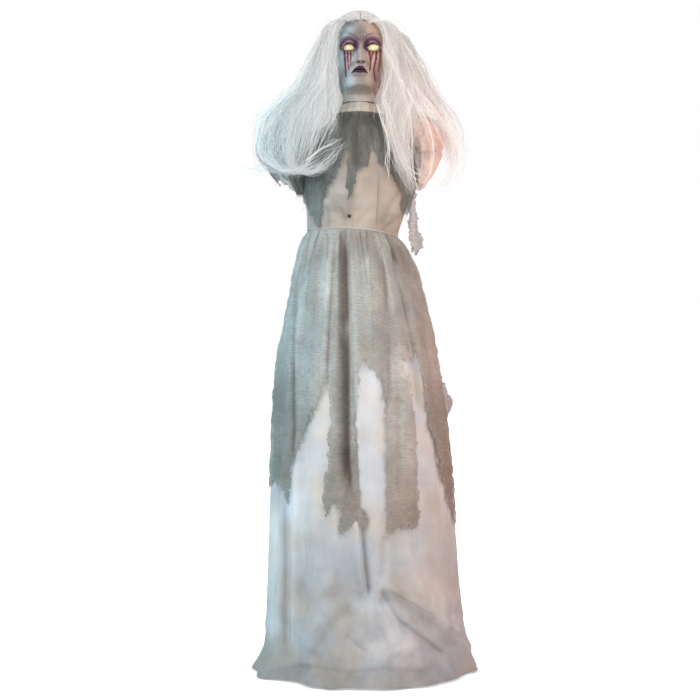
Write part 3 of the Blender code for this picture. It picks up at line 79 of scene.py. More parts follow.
SKIRT_SHARES = (
    (0, 0), (0.035, 0.13), (0.087, 0.275), (0.154, 0.40), (0.268, 0.535), (0.385, 0.60),
    (0.57, 0.67), (0.776, 0.74), (0.91, 0.80), (0.955, 0.835), (0.982, 0.92), (1, 1),
)
SKIRT_LEAN = ((0, -1), (0.23, 0), (0.6, 0.35), (1, 1))
FOLD_DEPTH = 0.015
FOLD_WAVES = ((7, 0.6, 0.45), (11, 2.3, 0.35), (16, 4.0, 0.20))
BODICE_SHARES = (
    (0, 0, 0), (0.13, 0.35, 0.30), (0.35, 1, 0.90), (0.62, 1.02, 1), (0.80, 0.45, 0.55),
    (0.92, -0.80, -0.70), (1, -1, -1),
)
BODICE_LEAN = ((0, -1), (0.35, 0), (1, 0))
HEAD_SHARES = (
    (0, 0.584, 0.448, 0.494), (0.055, 0.57, 0.44, 0.50), (0.092, 0.57, 0.50, 0.53),
    (0.118, 0.61, 0.86, 0.56), (0.145, 0.65, 0.925, 0.60), (0.21, 0.74, 0.93, 0.70),
    (0.30, 0.85, 0.965, 0.82), (0.40, 0.92, 0.96, 0.92), (0.49, 0.96, 0.93, 0.98), (0.57, 0.985, 0.87, 1),
    (0.66, 1, 0.95, 1), (0.79, 0.96, 0.90, 0.95), (0.90, 0.78, 0.70, 0.78), (0.965, 0.48, 0.42, 0.50),
    (1, 0.10, 0.10, 0.10),
)


# Numbers and noise

def column(rows, at, index=1):
    return np.interp(at, [row[0] for row in rows], [row[index] for row in rows])


def curve(rows, at, index=1, blur=0.03):
    """A table read with its corners rounded off over blur on each side."""
    taps = np.linspace(-blur, blur, 9)
    return sum(column(rows, at + tap, index) for tap in taps) / len(taps)


def eased(share):
    return share * share * (3 - 2 * share)


def step(low, high, at):
    return eased(np.clip((at - low) / (high - low), 0, 1))


# Large odd numbers that spread a lattice cell's place and seed over all values
SPREAD_X, SPREAD_Y, SPREAD_Z, SPREAD_SEED = 73856093, 19349663, 83492791, 2654435761
SPREAD_AGAIN = 1274126177
POSITIVE_BITS = 0x7FFFFFFF
VALUE_BITS = 0xFFFF


def lattice(i, j, k, seed):
    mixed = i * SPREAD_X ^ j * SPREAD_Y ^ k * SPREAD_Z ^ seed * SPREAD_SEED
    mixed = (mixed ^ mixed >> 13) * SPREAD_AGAIN & POSITIVE_BITS
    return (mixed >> 7 & VALUE_BITS) / (VALUE_BITS / 2) - 1


def noise(points, size, seed):
    """Smooth values from -1 to 1 at points, with features of about size (one number or three)."""
    scaled = points / np.asarray(size, float)
    base = np.floor(scaled).astype(np.int64)
    near = eased(scaled - base)
    total = 0.0
    for corner in itertools.product((0, 1), repeat=3):
        weight = np.prod(np.where(corner, near, 1 - near), axis=-1)
        cell = base + np.array(corner)
        total = total + weight * lattice(cell[..., 0], cell[..., 1], cell[..., 2], seed)
    return total


def rough(points, size, seed, octaves=3):
    size = np.asarray(size, float)
    return sum(noise(points, size / 2 ** n, seed + n) / 2 ** n for n in range(octaves))


# The photograph's pixels

def pixel_of(x, y, z):
    scale = FOCAL_PX / (CAMERA_DISTANCE + y)
    return CENTRE_PX + (x - CAMERA_X) * scale, CENTRE_PX - (z - CAMERA_HEIGHT) * scale


def place_of(px, py, y):
    scale = (CAMERA_DISTANCE + y) / FOCAL_PX
    return CAMERA_X + (px - CENTRE_PX) * scale, CAMERA_HEIGHT + (CENTRE_PX - py) * scale


def inside(px, py, corners):
    """Whether each pixel is inside the outline."""
    result = np.zeros(np.shape(px), bool)
    for (ax, ay), (bx, by) in zip(corners, corners[1:] + corners[:1]):
        if ay == by:
            continue
        spans = (ay > py) != (by > py)
        result ^= spans & (px < (bx - ax) * (py - ay) / (by - ay) + ax)
    return result


def line_reach(px, py, line):
    """Pixels to a drawn line, above zero on its right, and how far along it the nearest spot is."""
    lengths = [math.dist(a, b) for a, b in zip(line, line[1:])]
    total = sum(lengths)
    best = np.full(np.shape(px), 1e9)
    signed = np.zeros(np.shape(px))
    along = np.zeros(np.shape(px))
    gone = 0.0
    for (ax, ay), (bx, by), length in zip(line, line[1:], lengths):
        dx, dy = (bx - ax) / length, (by - ay) / length
        t = np.clip((px - ax) * dx + (py - ay) * dy, 0, length)
        far = np.hypot(px - ax - t * dx, py - ay - t * dy)
        side = np.sign(dy * (px - ax) - dx * (py - ay))
        nearer = far < best
        best = np.where(nearer, far, best)
        signed = np.where(nearer, far * side, signed)
        along = np.where(nearer, (gone + t) / total, along)
        gone += length
    return signed, along


def creases(px, py, rows):
    """The drawn folds' height: each row is a height, a reach left and right in pixels, and a line."""
    total = np.zeros(np.shape(px))
    for height, left, right, line in rows:
        signed, along = line_reach(px, py, line)
        reach = np.where(signed < 0, left, right)
        fade = step(0, 0.15, along) * step(0, 0.15, 1 - along)
        total += height * fade * np.exp(-(signed / reach) ** 2)
    return total


# Meshes

LAYER_KINDS = {1: ("FLOAT", "value"), 3: ("FLOAT_VECTOR", "vector"), 4: ("FLOAT_COLOR", "color")}


def new_mesh(name, points, corners, **layers):
    """A mesh object from points and an array of triangles or quads, with named point layers."""
    used, packed = np.unique(corners, return_inverse=True)
    packed = packed.reshape(corners.shape)
    mesh = bpy.data.meshes.new(name)
    mesh.vertices.add(len(used))
    mesh.vertices.foreach_set("co", points[used].astype(np.float32).ravel())
    mesh.loops.add(packed.size)
    mesh.loops.foreach_set("vertex_index", packed.astype(np.int32).ravel())
    mesh.polygons.add(len(packed))
    starts = np.arange(len(packed), dtype=np.int32) * packed.shape[1]
    mesh.polygons.foreach_set("loop_start", starts)
    mesh.update(calc_edges=True)
    mesh.shade_smooth()
    for layer, values in layers.items():
        values = values.reshape(len(points), -1)[used].astype(np.float32)
        kind, field = LAYER_KINDS[values.shape[1]]
        mesh.attributes.new(layer, kind, "POINT").data.foreach_set(field, values.ravel())
    piece = bpy.data.objects.new(name, mesh)
    bpy.context.scene.collection.objects.link(piece)
    return piece


def tube_grid(columns, shares, start=0.0):
    """Angles round a sheet and shares along it, in rows; the columns begin at start."""
    return np.meshgrid(np.linspace(0, 2 * math.pi, columns, endpoint=False) + start, shares)


def grid_mesh(name, points, closed=True, keep=None, **layers):
    """A sheet from rows of points, round into itself if closed, without the cells that keep leaves out."""
    rows, columns = points.shape[:2]
    index = np.arange(rows * columns).reshape(rows, columns)
    right = np.roll(index, -1, axis=1) if closed else index[:, 1:]
    left = index if closed else index[:, :-1]
    corners = np.stack([left[:-1], left[1:], right[1:], right[:-1]], axis=-1)
    corners = corners.reshape(-1, 4) if keep is None else corners[keep]
    return new_mesh(name, points.reshape(-1, 3), corners, **layers)


STRAND_SIDES = 3
# A direction that no strand runs in
STRAND_TURN = np.array([0.31, 0.87, 0.38])


def tubes(name, paths, radii, **layers):
    """Thin strands with STRAND_SIDES: paths is strands by points by 3, radii is strands by points."""
    strands, count = paths.shape[:2]
    along = np.gradient(paths, axis=1)
    along /= np.linalg.norm(along, axis=2, keepdims=True) + 1e-9
    across = np.cross(along, STRAND_TURN)
    across /= np.linalg.norm(across, axis=2, keepdims=True) + 1e-9
    third = np.cross(along, across)
    rings = []
    for side in range(STRAND_SIDES):
        turn = 2 * side * math.pi / STRAND_SIDES
        way = across * math.cos(turn) + third * math.sin(turn)
        rings.append(paths + way * radii[..., None])
    points = np.stack(rings, axis=2)
    index = np.arange(strands * count * STRAND_SIDES).reshape(strands, count, STRAND_SIDES)
    beside = np.roll(index, -1, axis=2)
    corners = np.stack([index[:, :-1], beside[:, :-1], beside[:, 1:], index[:, 1:]], axis=-1)
    spread = {key: np.repeat(value.reshape(strands, count), STRAND_SIDES) for key, value in layers.items()}
    return new_mesh(name, points.reshape(-1, 3), corners.reshape(-1, 4), **spread)


# Materials

WHITE = (1, 1, 1, 1)


def to_linear(shown):
    """Values as a screen shows them, in the renderer's numbers."""
    return np.where(shown <= 0.04045, shown / 12.92, ((shown + 0.055) / 1.055) ** 2.4)


def linear(red, green, blue):
    return (*(float(v) for v in to_linear(np.array([red, green, blue], float))), 1.0)


def dimmed(size, colour):
    return linear(*(size * part for part in colour))


STAGE_CAST = [
    (0.0, linear(0.76, 0.94, 1.0)), (0.28, linear(0.94, 0.985, 1.0)), (0.50, linear(1, 0.99, 0.98)),
    (0.68, linear(1, 0.95, 0.92)), (1.0, linear(1.0, 0.83, 0.78)),
]
CAST_REACH = 0.28


class Paint:
    """The nodes of a material or world: add returns a node whose inputs are already set or joined."""

    def __init__(self, name, kind="materials"):
        self.material = getattr(bpy.data, kind).new(name)
        self.material.use_nodes = True
        self.tree = self.material.node_tree
        self.tree.nodes.clear()

    def add(self, kind, inputs=None, **settings):
        made = self.tree.nodes.new("ShaderNode" + kind)
        for key, value in settings.items():
            setattr(made, key, value)
        for key, value in (inputs or {}).items():
            if isinstance(value, bpy.types.NodeSocket):
                self.tree.links.new(value, made.inputs[key])
            else:
                made.inputs[key].default_value = value
        return made

    def position(self):
        return self.add("TexCoord").outputs["Object"]

    def layer(self, name, output="Vector"):
        return self.add("Attribute", attribute_name=name).outputs[output]

    def noise(self, place, scale, detail=3.0, roughness=0.55):
        inputs = {"Vector": place, "Scale": scale, "Detail": detail, "Roughness": roughness}
        return self.add("TexNoise", inputs).outputs["Fac"]

    def math(self, operation, first, second=0.5):
        return self.add("Math", {0: first, 1: second}, operation=operation).outputs[0]

    def spread(self, value, low, high, to_low=0.0, to_high=1.0):
        inputs = {"Value": value, "From Min": low, "From Max": high, "To Min": to_low, "To Max": to_high}
        return self.add("MapRange", inputs).outputs[0]

    def ramp(self, factor, stops):
        made = self.add("ValToRGB", {"Fac": factor})
        elements = made.color_ramp.elements
        while len(elements) > 1:
            elements.remove(elements[-1])
        elements[0].position, elements[0].color = stops[0]
        for position, colour in stops[1:]:
            elements.new(position).color = colour
        return made.outputs["Color"]

    def mix(self, factor, first, second, way="MIX"):
        inputs = {0: factor, 6: first, 7: second}
        return self.add("Mix", inputs, data_type="RGBA", blend_type=way).outputs[2]

    def stain(self, amount, colour, factor, stops):
        """The colour times a ramp over factor."""
        return self.mix(amount, colour, self.ramp(factor, stops), "MULTIPLY")

    def blend(self, share, first, second):
        inputs = {0: share, 1: first.outputs[0], 2: second.outputs[0]}
        return self.add("MixShader", inputs)

    def tint(self, colour, strength=1.0, facing=0.12):
        """The stage light's cast, painted on: pale blue towards -X, pale pink towards +X."""
        source = self.add("TexCoord").outputs
        apart = self.add("SeparateXYZ", {0: source["Object"]}).outputs["X"]
        share = self.spread(apart, -CAST_REACH, CAST_REACH)
        turned = self.add("SeparateXYZ", {0: source["Normal"]}).outputs["X"]
        share = self.add("Math", {0: turned, 1: facing, 2: share}, operation="MULTIPLY_ADD").outputs[0]
        return self.stain(strength, colour, share, STAGE_CAST)

    def bump(self, height, distance, strength=1.0, normal=None):
        inputs = {"Height": height, "Distance": distance, "Strength": strength}
        if normal is not None:
            inputs["Normal"] = normal
        return self.add("Bump", inputs).outputs[0]

    def finish(self, colour, roughness=0.6, normal=None, shader_inputs=None, clear=None):
        inputs = {"Base Color": colour, "Roughness": roughness}
        inputs.update(shader_inputs or {})
        if normal is not None:
            inputs["Normal"] = normal
        surface = self.add("BsdfPrincipled", inputs)
        if clear is not None:
            surface = self.blend(clear, self.add("BsdfTransparent"), surface)
        return self.close(surface)

    def close(self, surface):
        self.add("OutputMaterial", {"Surface": surface.outputs[0]})
        return self.material


YARN_WANDER = 0.0011
GAUZE_PITCH = 0.0021


def woven(paint, pitch):
    """Threads crossing at pitch, read from the sheet's own flat metres, thick where the yarn slubs."""
    flat = paint.layer("flat")
    wander = paint.noise(flat, 60.0, 2.0)
    aside = paint.add("CombineXYZ", {0: wander, 1: wander}).outputs[0]
    aside = paint.add("VectorMath", {0: aside, 1: (YARN_WANDER,) * 3}, operation="MULTIPLY").outputs[0]
    moved = paint.add("VectorMath", {0: flat, 1: aside}, operation="ADD").outputs[0]
    threads = []
    for direction in ("X", "Y"):
        inputs = {"Vector": moved, "Scale": 1 / pitch / 3.1416, "Distortion": 0.0}
        threads.append(paint.add("TexWave", inputs, bands_direction=direction).outputs["Fac"])
    return flat, paint.math("MAXIMUM", *threads)


def cloth_material(name, colour, dark, cast=1.0):
    paint = Paint(name)
    place = paint.position()
    blotch = paint.noise(place, 9.0, 4.0)
    base = paint.mix(paint.spread(blotch, 0.35, 0.68), linear(*dark), linear(*colour))
    fibre = paint.noise(place, 900.0, 2.0)
    base = paint.stain(0.12, base, fibre, [(0.3, linear(0.55, 0.55, 0.55)), (0.7, WHITE)])
    # Times the tone layer: painted shade and highlight
    base = paint.mix(1.0, base, paint.layer("tone", "Fac"), "MULTIPLY")
    patch = paint.spread(paint.noise(place, 6.5, 3.0), 0.38, 0.62)
    base = paint.stain(1.0, base, patch, [(0.0, linear(1, 0.965, 0.92)), (1.0, linear(0.965, 0.98, 1))])
    base = paint.tint(base, cast)
    normal = paint.bump(fibre, 0.0004, 0.35)
    normal = paint.bump(paint.noise(place, 45.0, 5.0), 0.0030, 0.8, normal)
    return paint.finish(base, 0.82, normal, {"Sheen Weight": 0.15, "Sheen Roughness": 0.5})


def gauze_material(name, colour, dark, cover=0.93, streaks=(40.0, 260.0, 1.0), depth=0.55):
    paint = Paint(name)
    place = paint.position()
    flat, cloth = woven(paint, GAUZE_PITCH)
    blotch = paint.noise(place, 7.0, 5.0)
    base = paint.mix(paint.spread(blotch, 0.34, 0.66), linear(*dark), linear(*colour))
    stretched = paint.add("Mapping", {"Vector": flat, "Scale": streaks}).outputs[0]
    wrinkle = paint.noise(stretched, 1.0, 4.0, 0.6)
    # Painted shade in the wrinkles' low parts, from the same noise that gives the bump; depth is how dark it
    # gets
    base = paint.mix(paint.spread(wrinkle, 0.30, 0.62, depth, 0.0), base, dimmed(0.55, dark))
    base = paint.mix(paint.spread(cloth, 0.3, 0.8, 0.35, 0.0), base, dimmed(0.5, dark))
    # Times the tone layer: painted shade and highlight; where painted shade falls the colour turns warm,
    # where painted light falls it turns cool
    tone = paint.layer("tone", "Fac")
    base = paint.mix(1.0, base, tone, "MULTIPLY")
    shade_warmth = [(0.0, linear(1, 0.965, 0.93)), (1.0, linear(0.955, 0.99, 1))]
    base = paint.tint(paint.stain(1.0, base, paint.spread(tone, 0.55, 1.05), shade_warmth))
    normal = paint.bump(wrinkle, 0.0022, 0.8)
    normal = paint.bump(cloth, 0.0005, 0.5, normal)
    hole = paint.spread(cloth, 0.22, 0.55, 0.45, 1.0)
    slack = paint.spread(paint.noise(place, 30.0, 4.0), 0.30, 0.70, cover - 0.22, 1.0)
    return paint.finish(base, 0.9, normal, {"Sheen Weight": 0.1}, clear=paint.math("MULTIPLY", hole, slack))


# How much painted glow loose hair gives, standing in for light scattered among the strands, and how much
# light it lets through and covers
HAIR_PAINTED_GLOW = 0.50
HAIR_THROUGH = 0.50
HAIR_COVER = 0.60


def hair_material(name, colour, root):
    paint = Paint(name)
    strand = paint.layer("strand", "Fac")
    height = paint.add("SeparateXYZ", {0: paint.position()}).outputs["Z"]
    base = paint.mix(strand, dimmed(0.72, colour), linear(*colour))
    crown = paint.spread(height, 1.62, 1.70, 0.0, 0.55)
    base = paint.mix(crown, base, linear(*root))
    base = paint.tint(base, 0.40, 0.0)
    streak = paint.noise(paint.position(), 350.0, 2.0)
    base = paint.stain(0.15, base, streak, [(0.35, linear(0.7, 0.7, 0.7)), (0.6, WHITE)])
    # The emission is a painted glow that brightens the hair
    gloss = paint.add("BsdfPrincipled", {
        "Base Color": base, "Roughness": 0.38, "Specular IOR Level": 0.5,
        "Emission Color": base, "Emission Strength": HAIR_PAINTED_GLOW,
    })
    both = paint.blend(HAIR_THROUGH, gloss, paint.add("BsdfTranslucent", {"Color": base}))
    thin = paint.blend(HAIR_COVER, paint.add("BsdfTransparent"), both)
    return paint.close(thin)


def head_material(name):
    paint = Paint(name)
    place = paint.position()
    base = paint.layer("paint", "Color")
    mottle = paint.noise(place, 70.0, 4.0)
    base = paint.stain(0.30, base, mottle, [(0.3, linear(0.72, 0.70, 0.72)), (0.65, WHITE)])
    base = paint.tint(base, 1.0)
    pores = paint.noise(place, 900.0, 2.0)
    return paint.finish(base, 0.52, paint.bump(pores, 0.0003, 0.4))


def solid_material(name, colour, roughness, metallic=0.0):
    paint = Paint(name)
    place = paint.position()
    marks = paint.noise(place, 400.0, 3.0)
    worn = paint.noise(place, 35.0, 4.0)
    light = linear(*(min(1.0, 1.25 * part + 0.02) for part in colour))
    base = paint.mix(paint.spread(worn, 0.45, 0.75, 0.0, 0.2), linear(*colour), light)
    rub = paint.spread(marks, 0.3, 0.7, roughness * 0.8, min(1.0, roughness * 1.2))
    return paint.finish(base, rub, paint.bump(marks, 0.0002, 0.3), {"Metallic": metallic})


def neck_material(name, colour):
    paint = Paint(name)
    place = paint.position()
    height = paint.add("SeparateXYZ", {0: place}).outputs["Z"]
    blotch = paint.noise(place, 60.0, 4.0)
    base = paint.mix(paint.spread(blotch, 0.35, 0.65), dimmed(0.88, colour), linear(*colour))
    seam = paint.spread(height, 1.4520, 1.4540, 0.0, 0.15)
    base = paint.tint(paint.mix(seam, base, linear(0.50, 0.39, 0.34)), 1.0)
    return paint.finish(base, 0.6, paint.bump(paint.noise(place, 500.0, 3.0), 0.0003, 0.4))


def eye_material(name):
    paint = Paint(name)
    place = paint.position()
    cloud = paint.noise(place, 160.0, 3.0)
    glow = paint.ramp(cloud, [(0.3, linear(0.80, 0.75, 0.52)), (0.7, linear(0.93, 0.90, 0.72))])
    return paint.finish(glow, 0.18, None, {"Emission Color": glow, "Emission Strength": 0.10})


materials = {
    "skirt": cloth_material("skirt_cloth", (0.915, 0.925, 0.94), (0.84, 0.84, 0.85), cast=0.60),
    "bodice": cloth_material("bodice_cloth", (0.735, 0.71, 0.685), (0.64, 0.61, 0.585), cast=0.85),
    "piping": cloth_material("piping_cloth", (0.76, 0.75, 0.74), (0.67, 0.66, 0.65)),
    "sleeve": cloth_material("sleeve_cloth", (0.97, 0.94, 0.93), (0.86, 0.83, 0.82)),
    "gauze": gauze_material(
        "gauze_cloth", (0.835, 0.81, 0.79), (0.68, 0.67, 0.65), streaks=(55.0, 300.0, 1.0), depth=0.42,
    ),
    "shawl": gauze_material(
        "shawl_gauze", (0.565, 0.57, 0.55), (0.375, 0.38, 0.365), cover=0.97, streaks=(240.0, 55.0, 1.0),
    ),
    "tail": gauze_material("tail_gauze", (0.80, 0.765, 0.775), (0.70, 0.655, 0.67), cover=0.97),
    "thread": solid_material("gauze_thread", (0.56, 0.57, 0.54), 0.9),
    "hair": hair_material("wig_hair", (1.0, 0.995, 0.99), (0.86, 0.85, 0.85)),
    "head": head_material("head_paint"),
    "eye": eye_material("eye_glow"),
}
slot_materials = {
    "zinc_steel": solid_material("steel", (0.66, 0.67, 0.69), 0.35, 1.0),
    "black_plastic": solid_material("plastic_black", (0.035, 0.035, 0.04), 0.35),
    "grey_plastic": solid_material("plastic_grey", (0.48, 0.49, 0.50), 0.5),
    "black_rubber": solid_material("rubber_black", (0.06, 0.06, 0.06), 0.85),
    "white_nylon": solid_material("nylon_white", (0.86, 0.86, 0.83), 0.45),
    "pcb_green": solid_material("board_green", (0.07, 0.33, 0.18), 0.4),
    "battery_wrap": solid_material("battery_jacket", (0.20, 0.22, 0.25), 0.3),
    "pale_skin": neck_material("neck_skin", (0.85, 0.815, 0.775)),
    "eye_yellow": materials["eye"],
    "white_nonwoven": materials["skirt"],
    "grey_gauze": materials["shawl"],
    "pale_sleeve": materials["sleeve"],
    "white_hair": materials["hair"],
}
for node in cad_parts.values():
    for number, held in enumerate(node.material_slots):
        held.material = slot_materials[held.material.name.split(".")[0]]


def dress(piece, material, slot_name, body, *nodes):
    piece.data.materials.append(materials[material])
    if nodes:
        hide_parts(*nodes)
    if body is not None:
        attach(piece, body)
    return piece


# The skirts

def around(angle):
    """Places round a circle, so that noise read there meets itself at the back."""
    return np.stack([np.cos(angle), np.sin(angle), np.zeros_like(angle)], axis=-1)


# Folds that both skirts share: height, reach left and right in pixels, line
SHARED_FOLDS = (
    (-0.021, 8, 1.2, [(343, 226), (347, 260), (348.5, 330), (348.5, 400), (349, 455), (352, 500)]),
    (0.014, 2, 9, [(351, 232), (353, 300), (355, 380), (358, 460), (361, 500)]),
    (0.010, 7, 7, [(320, 245), (315, 320), (311, 400), (308, 450)]),
    (-0.008, 1.5, 4, [(336, 236), (334, 256), (331, 310), (327, 380), (325, 400)]),
    (0.006, 3, 1.5, [(331, 236), (330, 256), (327, 310), (323, 380), (321, 400)]),
    (-0.014, 1.6, 6, [(311, 232), (302, 262), (295, 292), (293, 350), (294, 430), (289, 480)]),
    (0.013, 4, 6, [(301, 270), (299, 340), (299, 440), (298, 520), (297, 600), (296, 655)]),
    (-0.018, 5, 2, [(290, 430), (288, 500), (287, 580), (287, 640), (290, 672)]),
    (-0.010, 5, 1.5, [(379, 236), (383, 265), (387, 300), (389, 350), (390, 420)]),
    (-0.011, 5, 1.5, [(388, 240), (399, 285), (409, 325), (415, 360), (421, 420)]),
    (0.009, 2, 6, [(391, 240), (403, 285), (413, 325), (419, 360), (425, 420)]),
    (0.006, 4, 4, [(366, 240), (369, 290), (371, 350)]),
)
UNDER_FOLDS = (
    (-0.014, 1.4, 6, [(360, 505), (363, 545), (366, 575), (370, 602)]),
    (0.008, 5, 2, [(356, 515), (359, 560), (364, 600)]),
    (0.013, 7.0, 4.0, [(380, 578), (400, 593), (430, 613), (466, 636)]),
    (-0.011, 5, 3.0, [(378, 582), (387, 604), (399, 622), (425, 641), (454, 661)]),
    (0.012, 10, 9, [(380, 600), (387, 630), (402, 656)]),
    (0.007, 1.6, 5, [(379, 583), (376, 605), (374, 640)]),
    (-0.009, 8, 10, [(352, 604), (330, 632), (308, 664)]),
    (0.007, 8, 8, [(325, 600), (312, 640), (300, 668)]),
    (-0.005, 1.6, 3, [(343, 635), (355, 646), (369, 655)]),
    (-0.006, 3, 3, [(384, 535), (384, 565), (383, 580)]),
    (-0.008, 6, 6, [(425, 470), (430, 540), (441, 600)]),
    (0.008, 7, 7, [(405, 540), (416, 580), (436, 610)]),
    (-0.006, 4, 4, [(263, 664), (282, 671), (308, 668), (345, 676), (385, 671), (420, 674), (450, 662)]),
    (-0.006, 3, 4, [(455, 640), (461, 655), (474, 664)]),
    (0.010, 9, 12, [(311, 500), (318, 560), (330, 600)]),
)
GAUZE_FOLDS = (
    (0.004, 2, 2, [(367, 240), (369, 300), (371, 360)]),
    (0.005, 3, 2, [(408, 380), (411, 440), (412, 510)]),
    (-0.005, 3, 2, [(399, 380), (400, 440), (399, 500)]),
    (0.004, 3, 3, [(337, 420), (340, 470), (343, 520)]),
    (0.004, 1.5, 1.5, [(357, 440), (345, 490), (341, 508)]),
    (-0.004, 2, 2, [(349, 460), (352, 490), (358, 515)]),
    (-0.004, 3, 3, [(283, 400), (281, 440), (279, 475)]),
    (-0.004, 3, 3, [(306, 330), (305, 380), (304, 425)]),
)
# Painted shade in the folds' valleys and painted highlight on their ridges, in front: change of tone, reach
# left and right in pixels, line
GAUZE_PAINTED_SHADING = (
    (-0.42, 7, 1.5, [(343, 226), (346, 260), (347.5, 330), (347.5, 400), (348, 455), (351, 500)]),
    (-0.30, 6, 1.5, [(343, 312), (344, 330), (344, 352)]),
    (0.22, 1.5, 7, [(351, 236), (352, 300), (353, 380), (356, 460)]),
    (-0.30, 0.9, 1.4, [(334, 240), (333, 256), (330, 310), (326, 380)]),
    (-0.26, 1.2, 2.2, [(310, 235), (301, 262), (295, 292), (293, 350), (294, 430), (289, 480)]),
    (0.05, 9, 9, [(322, 250), (318, 320), (312, 390)]),
    (-0.34, 1.2, 1.8, [(366, 229), (367, 238), (367.5, 252)]),
    (0.18, 2.5, 2.5, [(370, 233), (370, 250), (369.5, 268)]),
    (0.18, 3, 3, [(331, 248), (328, 285), (324.5, 312)]),
    (-0.20, 3, 3, [(397, 244), (403, 258), (410, 276)]),
    (0.12, 4, 4, [(407, 287), (410, 315), (413, 345)]),
    (-0.18, 4, 4, [(421, 295), (423, 325), (424, 352)]),
    (0.16, 8, 8, [(303, 250), (300, 320), (299, 380)]),
    (-0.12, 6, 6, [(317, 236), (314, 290), (313, 335)]),
    (-0.32, 1.3, 1.3, [(327, 231), (328, 245), (327, 262)]),
    (-0.28, 1.3, 1.3, [(340, 231), (340.5, 244), (339, 262)]),
    (-0.26, 1.3, 1.6, [(382, 258), (385, 275), (388, 300)]),
    (0.16, 8, 8, [(367, 245), (370, 300), (372, 350)]),
    (-0.24, 1.6, 1.2, [(379, 240), (383, 265), (387, 310)]),
    (-0.28, 1.8, 1.2, [(388, 242), (399, 285), (409, 328), (415, 358)]),
    (-0.20, 14, 14, [(345, 440), (345, 480), (352, 520)]),
    (-0.30, 16, 12, [(275, 370), (277, 430), (281, 490)]),
    (0.12, 5, 5, [(300, 340), (299, 380), (297, 420)]),
    (-0.10, 8, 5, [(338, 250), (339, 320), (340, 390)]),
    (-0.14, 8, 8, [(447, 400), (447, 450), (452, 505)]),
    (0.24, 14, 14, [(403, 350), (402, 410), (403, 480)]),
)
SKIRT_PAINTED_SHADING = (
    (-0.22, 5, 1.6, [(284, 440), (285, 520), (286, 600), (286, 668)]),
    (0.26, 2.5, 8, [(291, 455), (291, 520), (289, 600), (287, 655)]),
    (0.10, 10, 16, [(300, 455), (304, 500), (302, 540)]),
    (-0.26, 1.2, 1.4, [(361, 520), (364, 555), (369, 600)]),
    (-0.15, 9, 7, [(392, 590), (414, 610), (436, 628), (458, 646)]),
    (-0.14, 1.2, 1.6, [(381, 586), (408, 601), (431, 613), (450, 626), (465, 643)]),
    (-0.10, 3, 4.0, [(381, 585), (390, 606), (402, 624), (425, 642), (452, 659)]),
    (0.34, 9, 12, [(386, 600), (392, 622), (398, 640), (406, 658)]),
    (0.16, 14, 10, [(368, 640), (385, 655), (420, 662)]),
    (0.08, 12, 12, [(372, 540), (372, 580), (376, 620)]),
    (0.10, 14, 14, [(408, 545), (420, 580), (440, 610)]),
    (-0.10, 10, 12, [(352, 604), (330, 632), (308, 664)]),
    (-0.09, 20, 20, [(340, 540), (330, 580), (318, 620)]),
    (-0.08, 5, 5, [(263, 666), (282, 672), (308, 670), (345, 677), (385, 673), (420, 675), (450, 664)]),
    (0.10, 16, 16, [(320, 420), (318, 470), (314, 510)]),
    (0.36, 12, 6, [(276, 500), (275, 600), (273, 650)]),
    (0.12, 12, 12, [(430, 560), (444, 610), (455, 640)]),
)


def angle_off(angle, centre):
    return np.mod(angle - centre + math.pi, 2 * math.pi) - math.pi


def tone_layer(points, strokes, fade, more=0.0):
    """How light the cloth is: painted shade and highlight along strokes drawn in front, and painted shade
    that changes slowly with height.
    """
    px, py = pixel_of(*np.moveaxis(points, -1, 0))
    front = step(0.02, -0.06, points[..., 1])
    heights, shares = zip(*fade)
    tone = np.interp(points[..., 2], heights, shares) * (1 + 0.06 * rough(points, 0.12, 501, 3))
    return np.clip(tone * (1 + creases(px, py, strokes) * front) * (1 + more), 0.05, 1.3)


# Painted shade that changes with height: darker towards the skirt's hem and the gauze's lower edge, and
# towards the neckline on the bodice and shawl
SKIRT_SHADE_BY_HEIGHT = ((0.0, 0.37), (0.05, 0.45), (0.12, 0.51), (0.28, 0.58), (0.45, 0.74), (0.70, 0.82))
GAUZE_SHADE_BY_HEIGHT = ((0.35, 0.66), (0.55, 0.78), (0.80, 0.94), (1.00, 1.0), (1.12, 0.92))
SHAWL_SHADE_BY_HEIGHT = ((1.10, 0.95), (1.25, 1.0), (1.35, 0.95), (1.43, 0.82))


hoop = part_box("hip_hoop")
HOOP_HALF = (hoop[1].x, hoop[1].y)
HOOP_HEIGHT = (hoop[0].z + hoop[1].z) / 2
HOOP_ROOM = 0.0038
CRUMPLE = 0.0012


def waist_tilt(angle):
    """How far the waist seam rises in front and on the figure's right, and drops on its left."""
    return 0.006 * np.maximum(-np.sin(angle), 0) ** 2 - 0.0085 * np.cos(angle)


def gathers(angle, share, reach=0.12):
    """The small folds that the waist seam draws in, deepest near it."""
    ring = around(angle)
    size = 0.0050 * noise(ring, 0.048, 11) + 0.0070 * noise(ring, 0.10, 12) + 0.0022 * noise(ring, 0.022, 14)
    return size * step(0, 0.015, share) * np.exp(-share / reach)


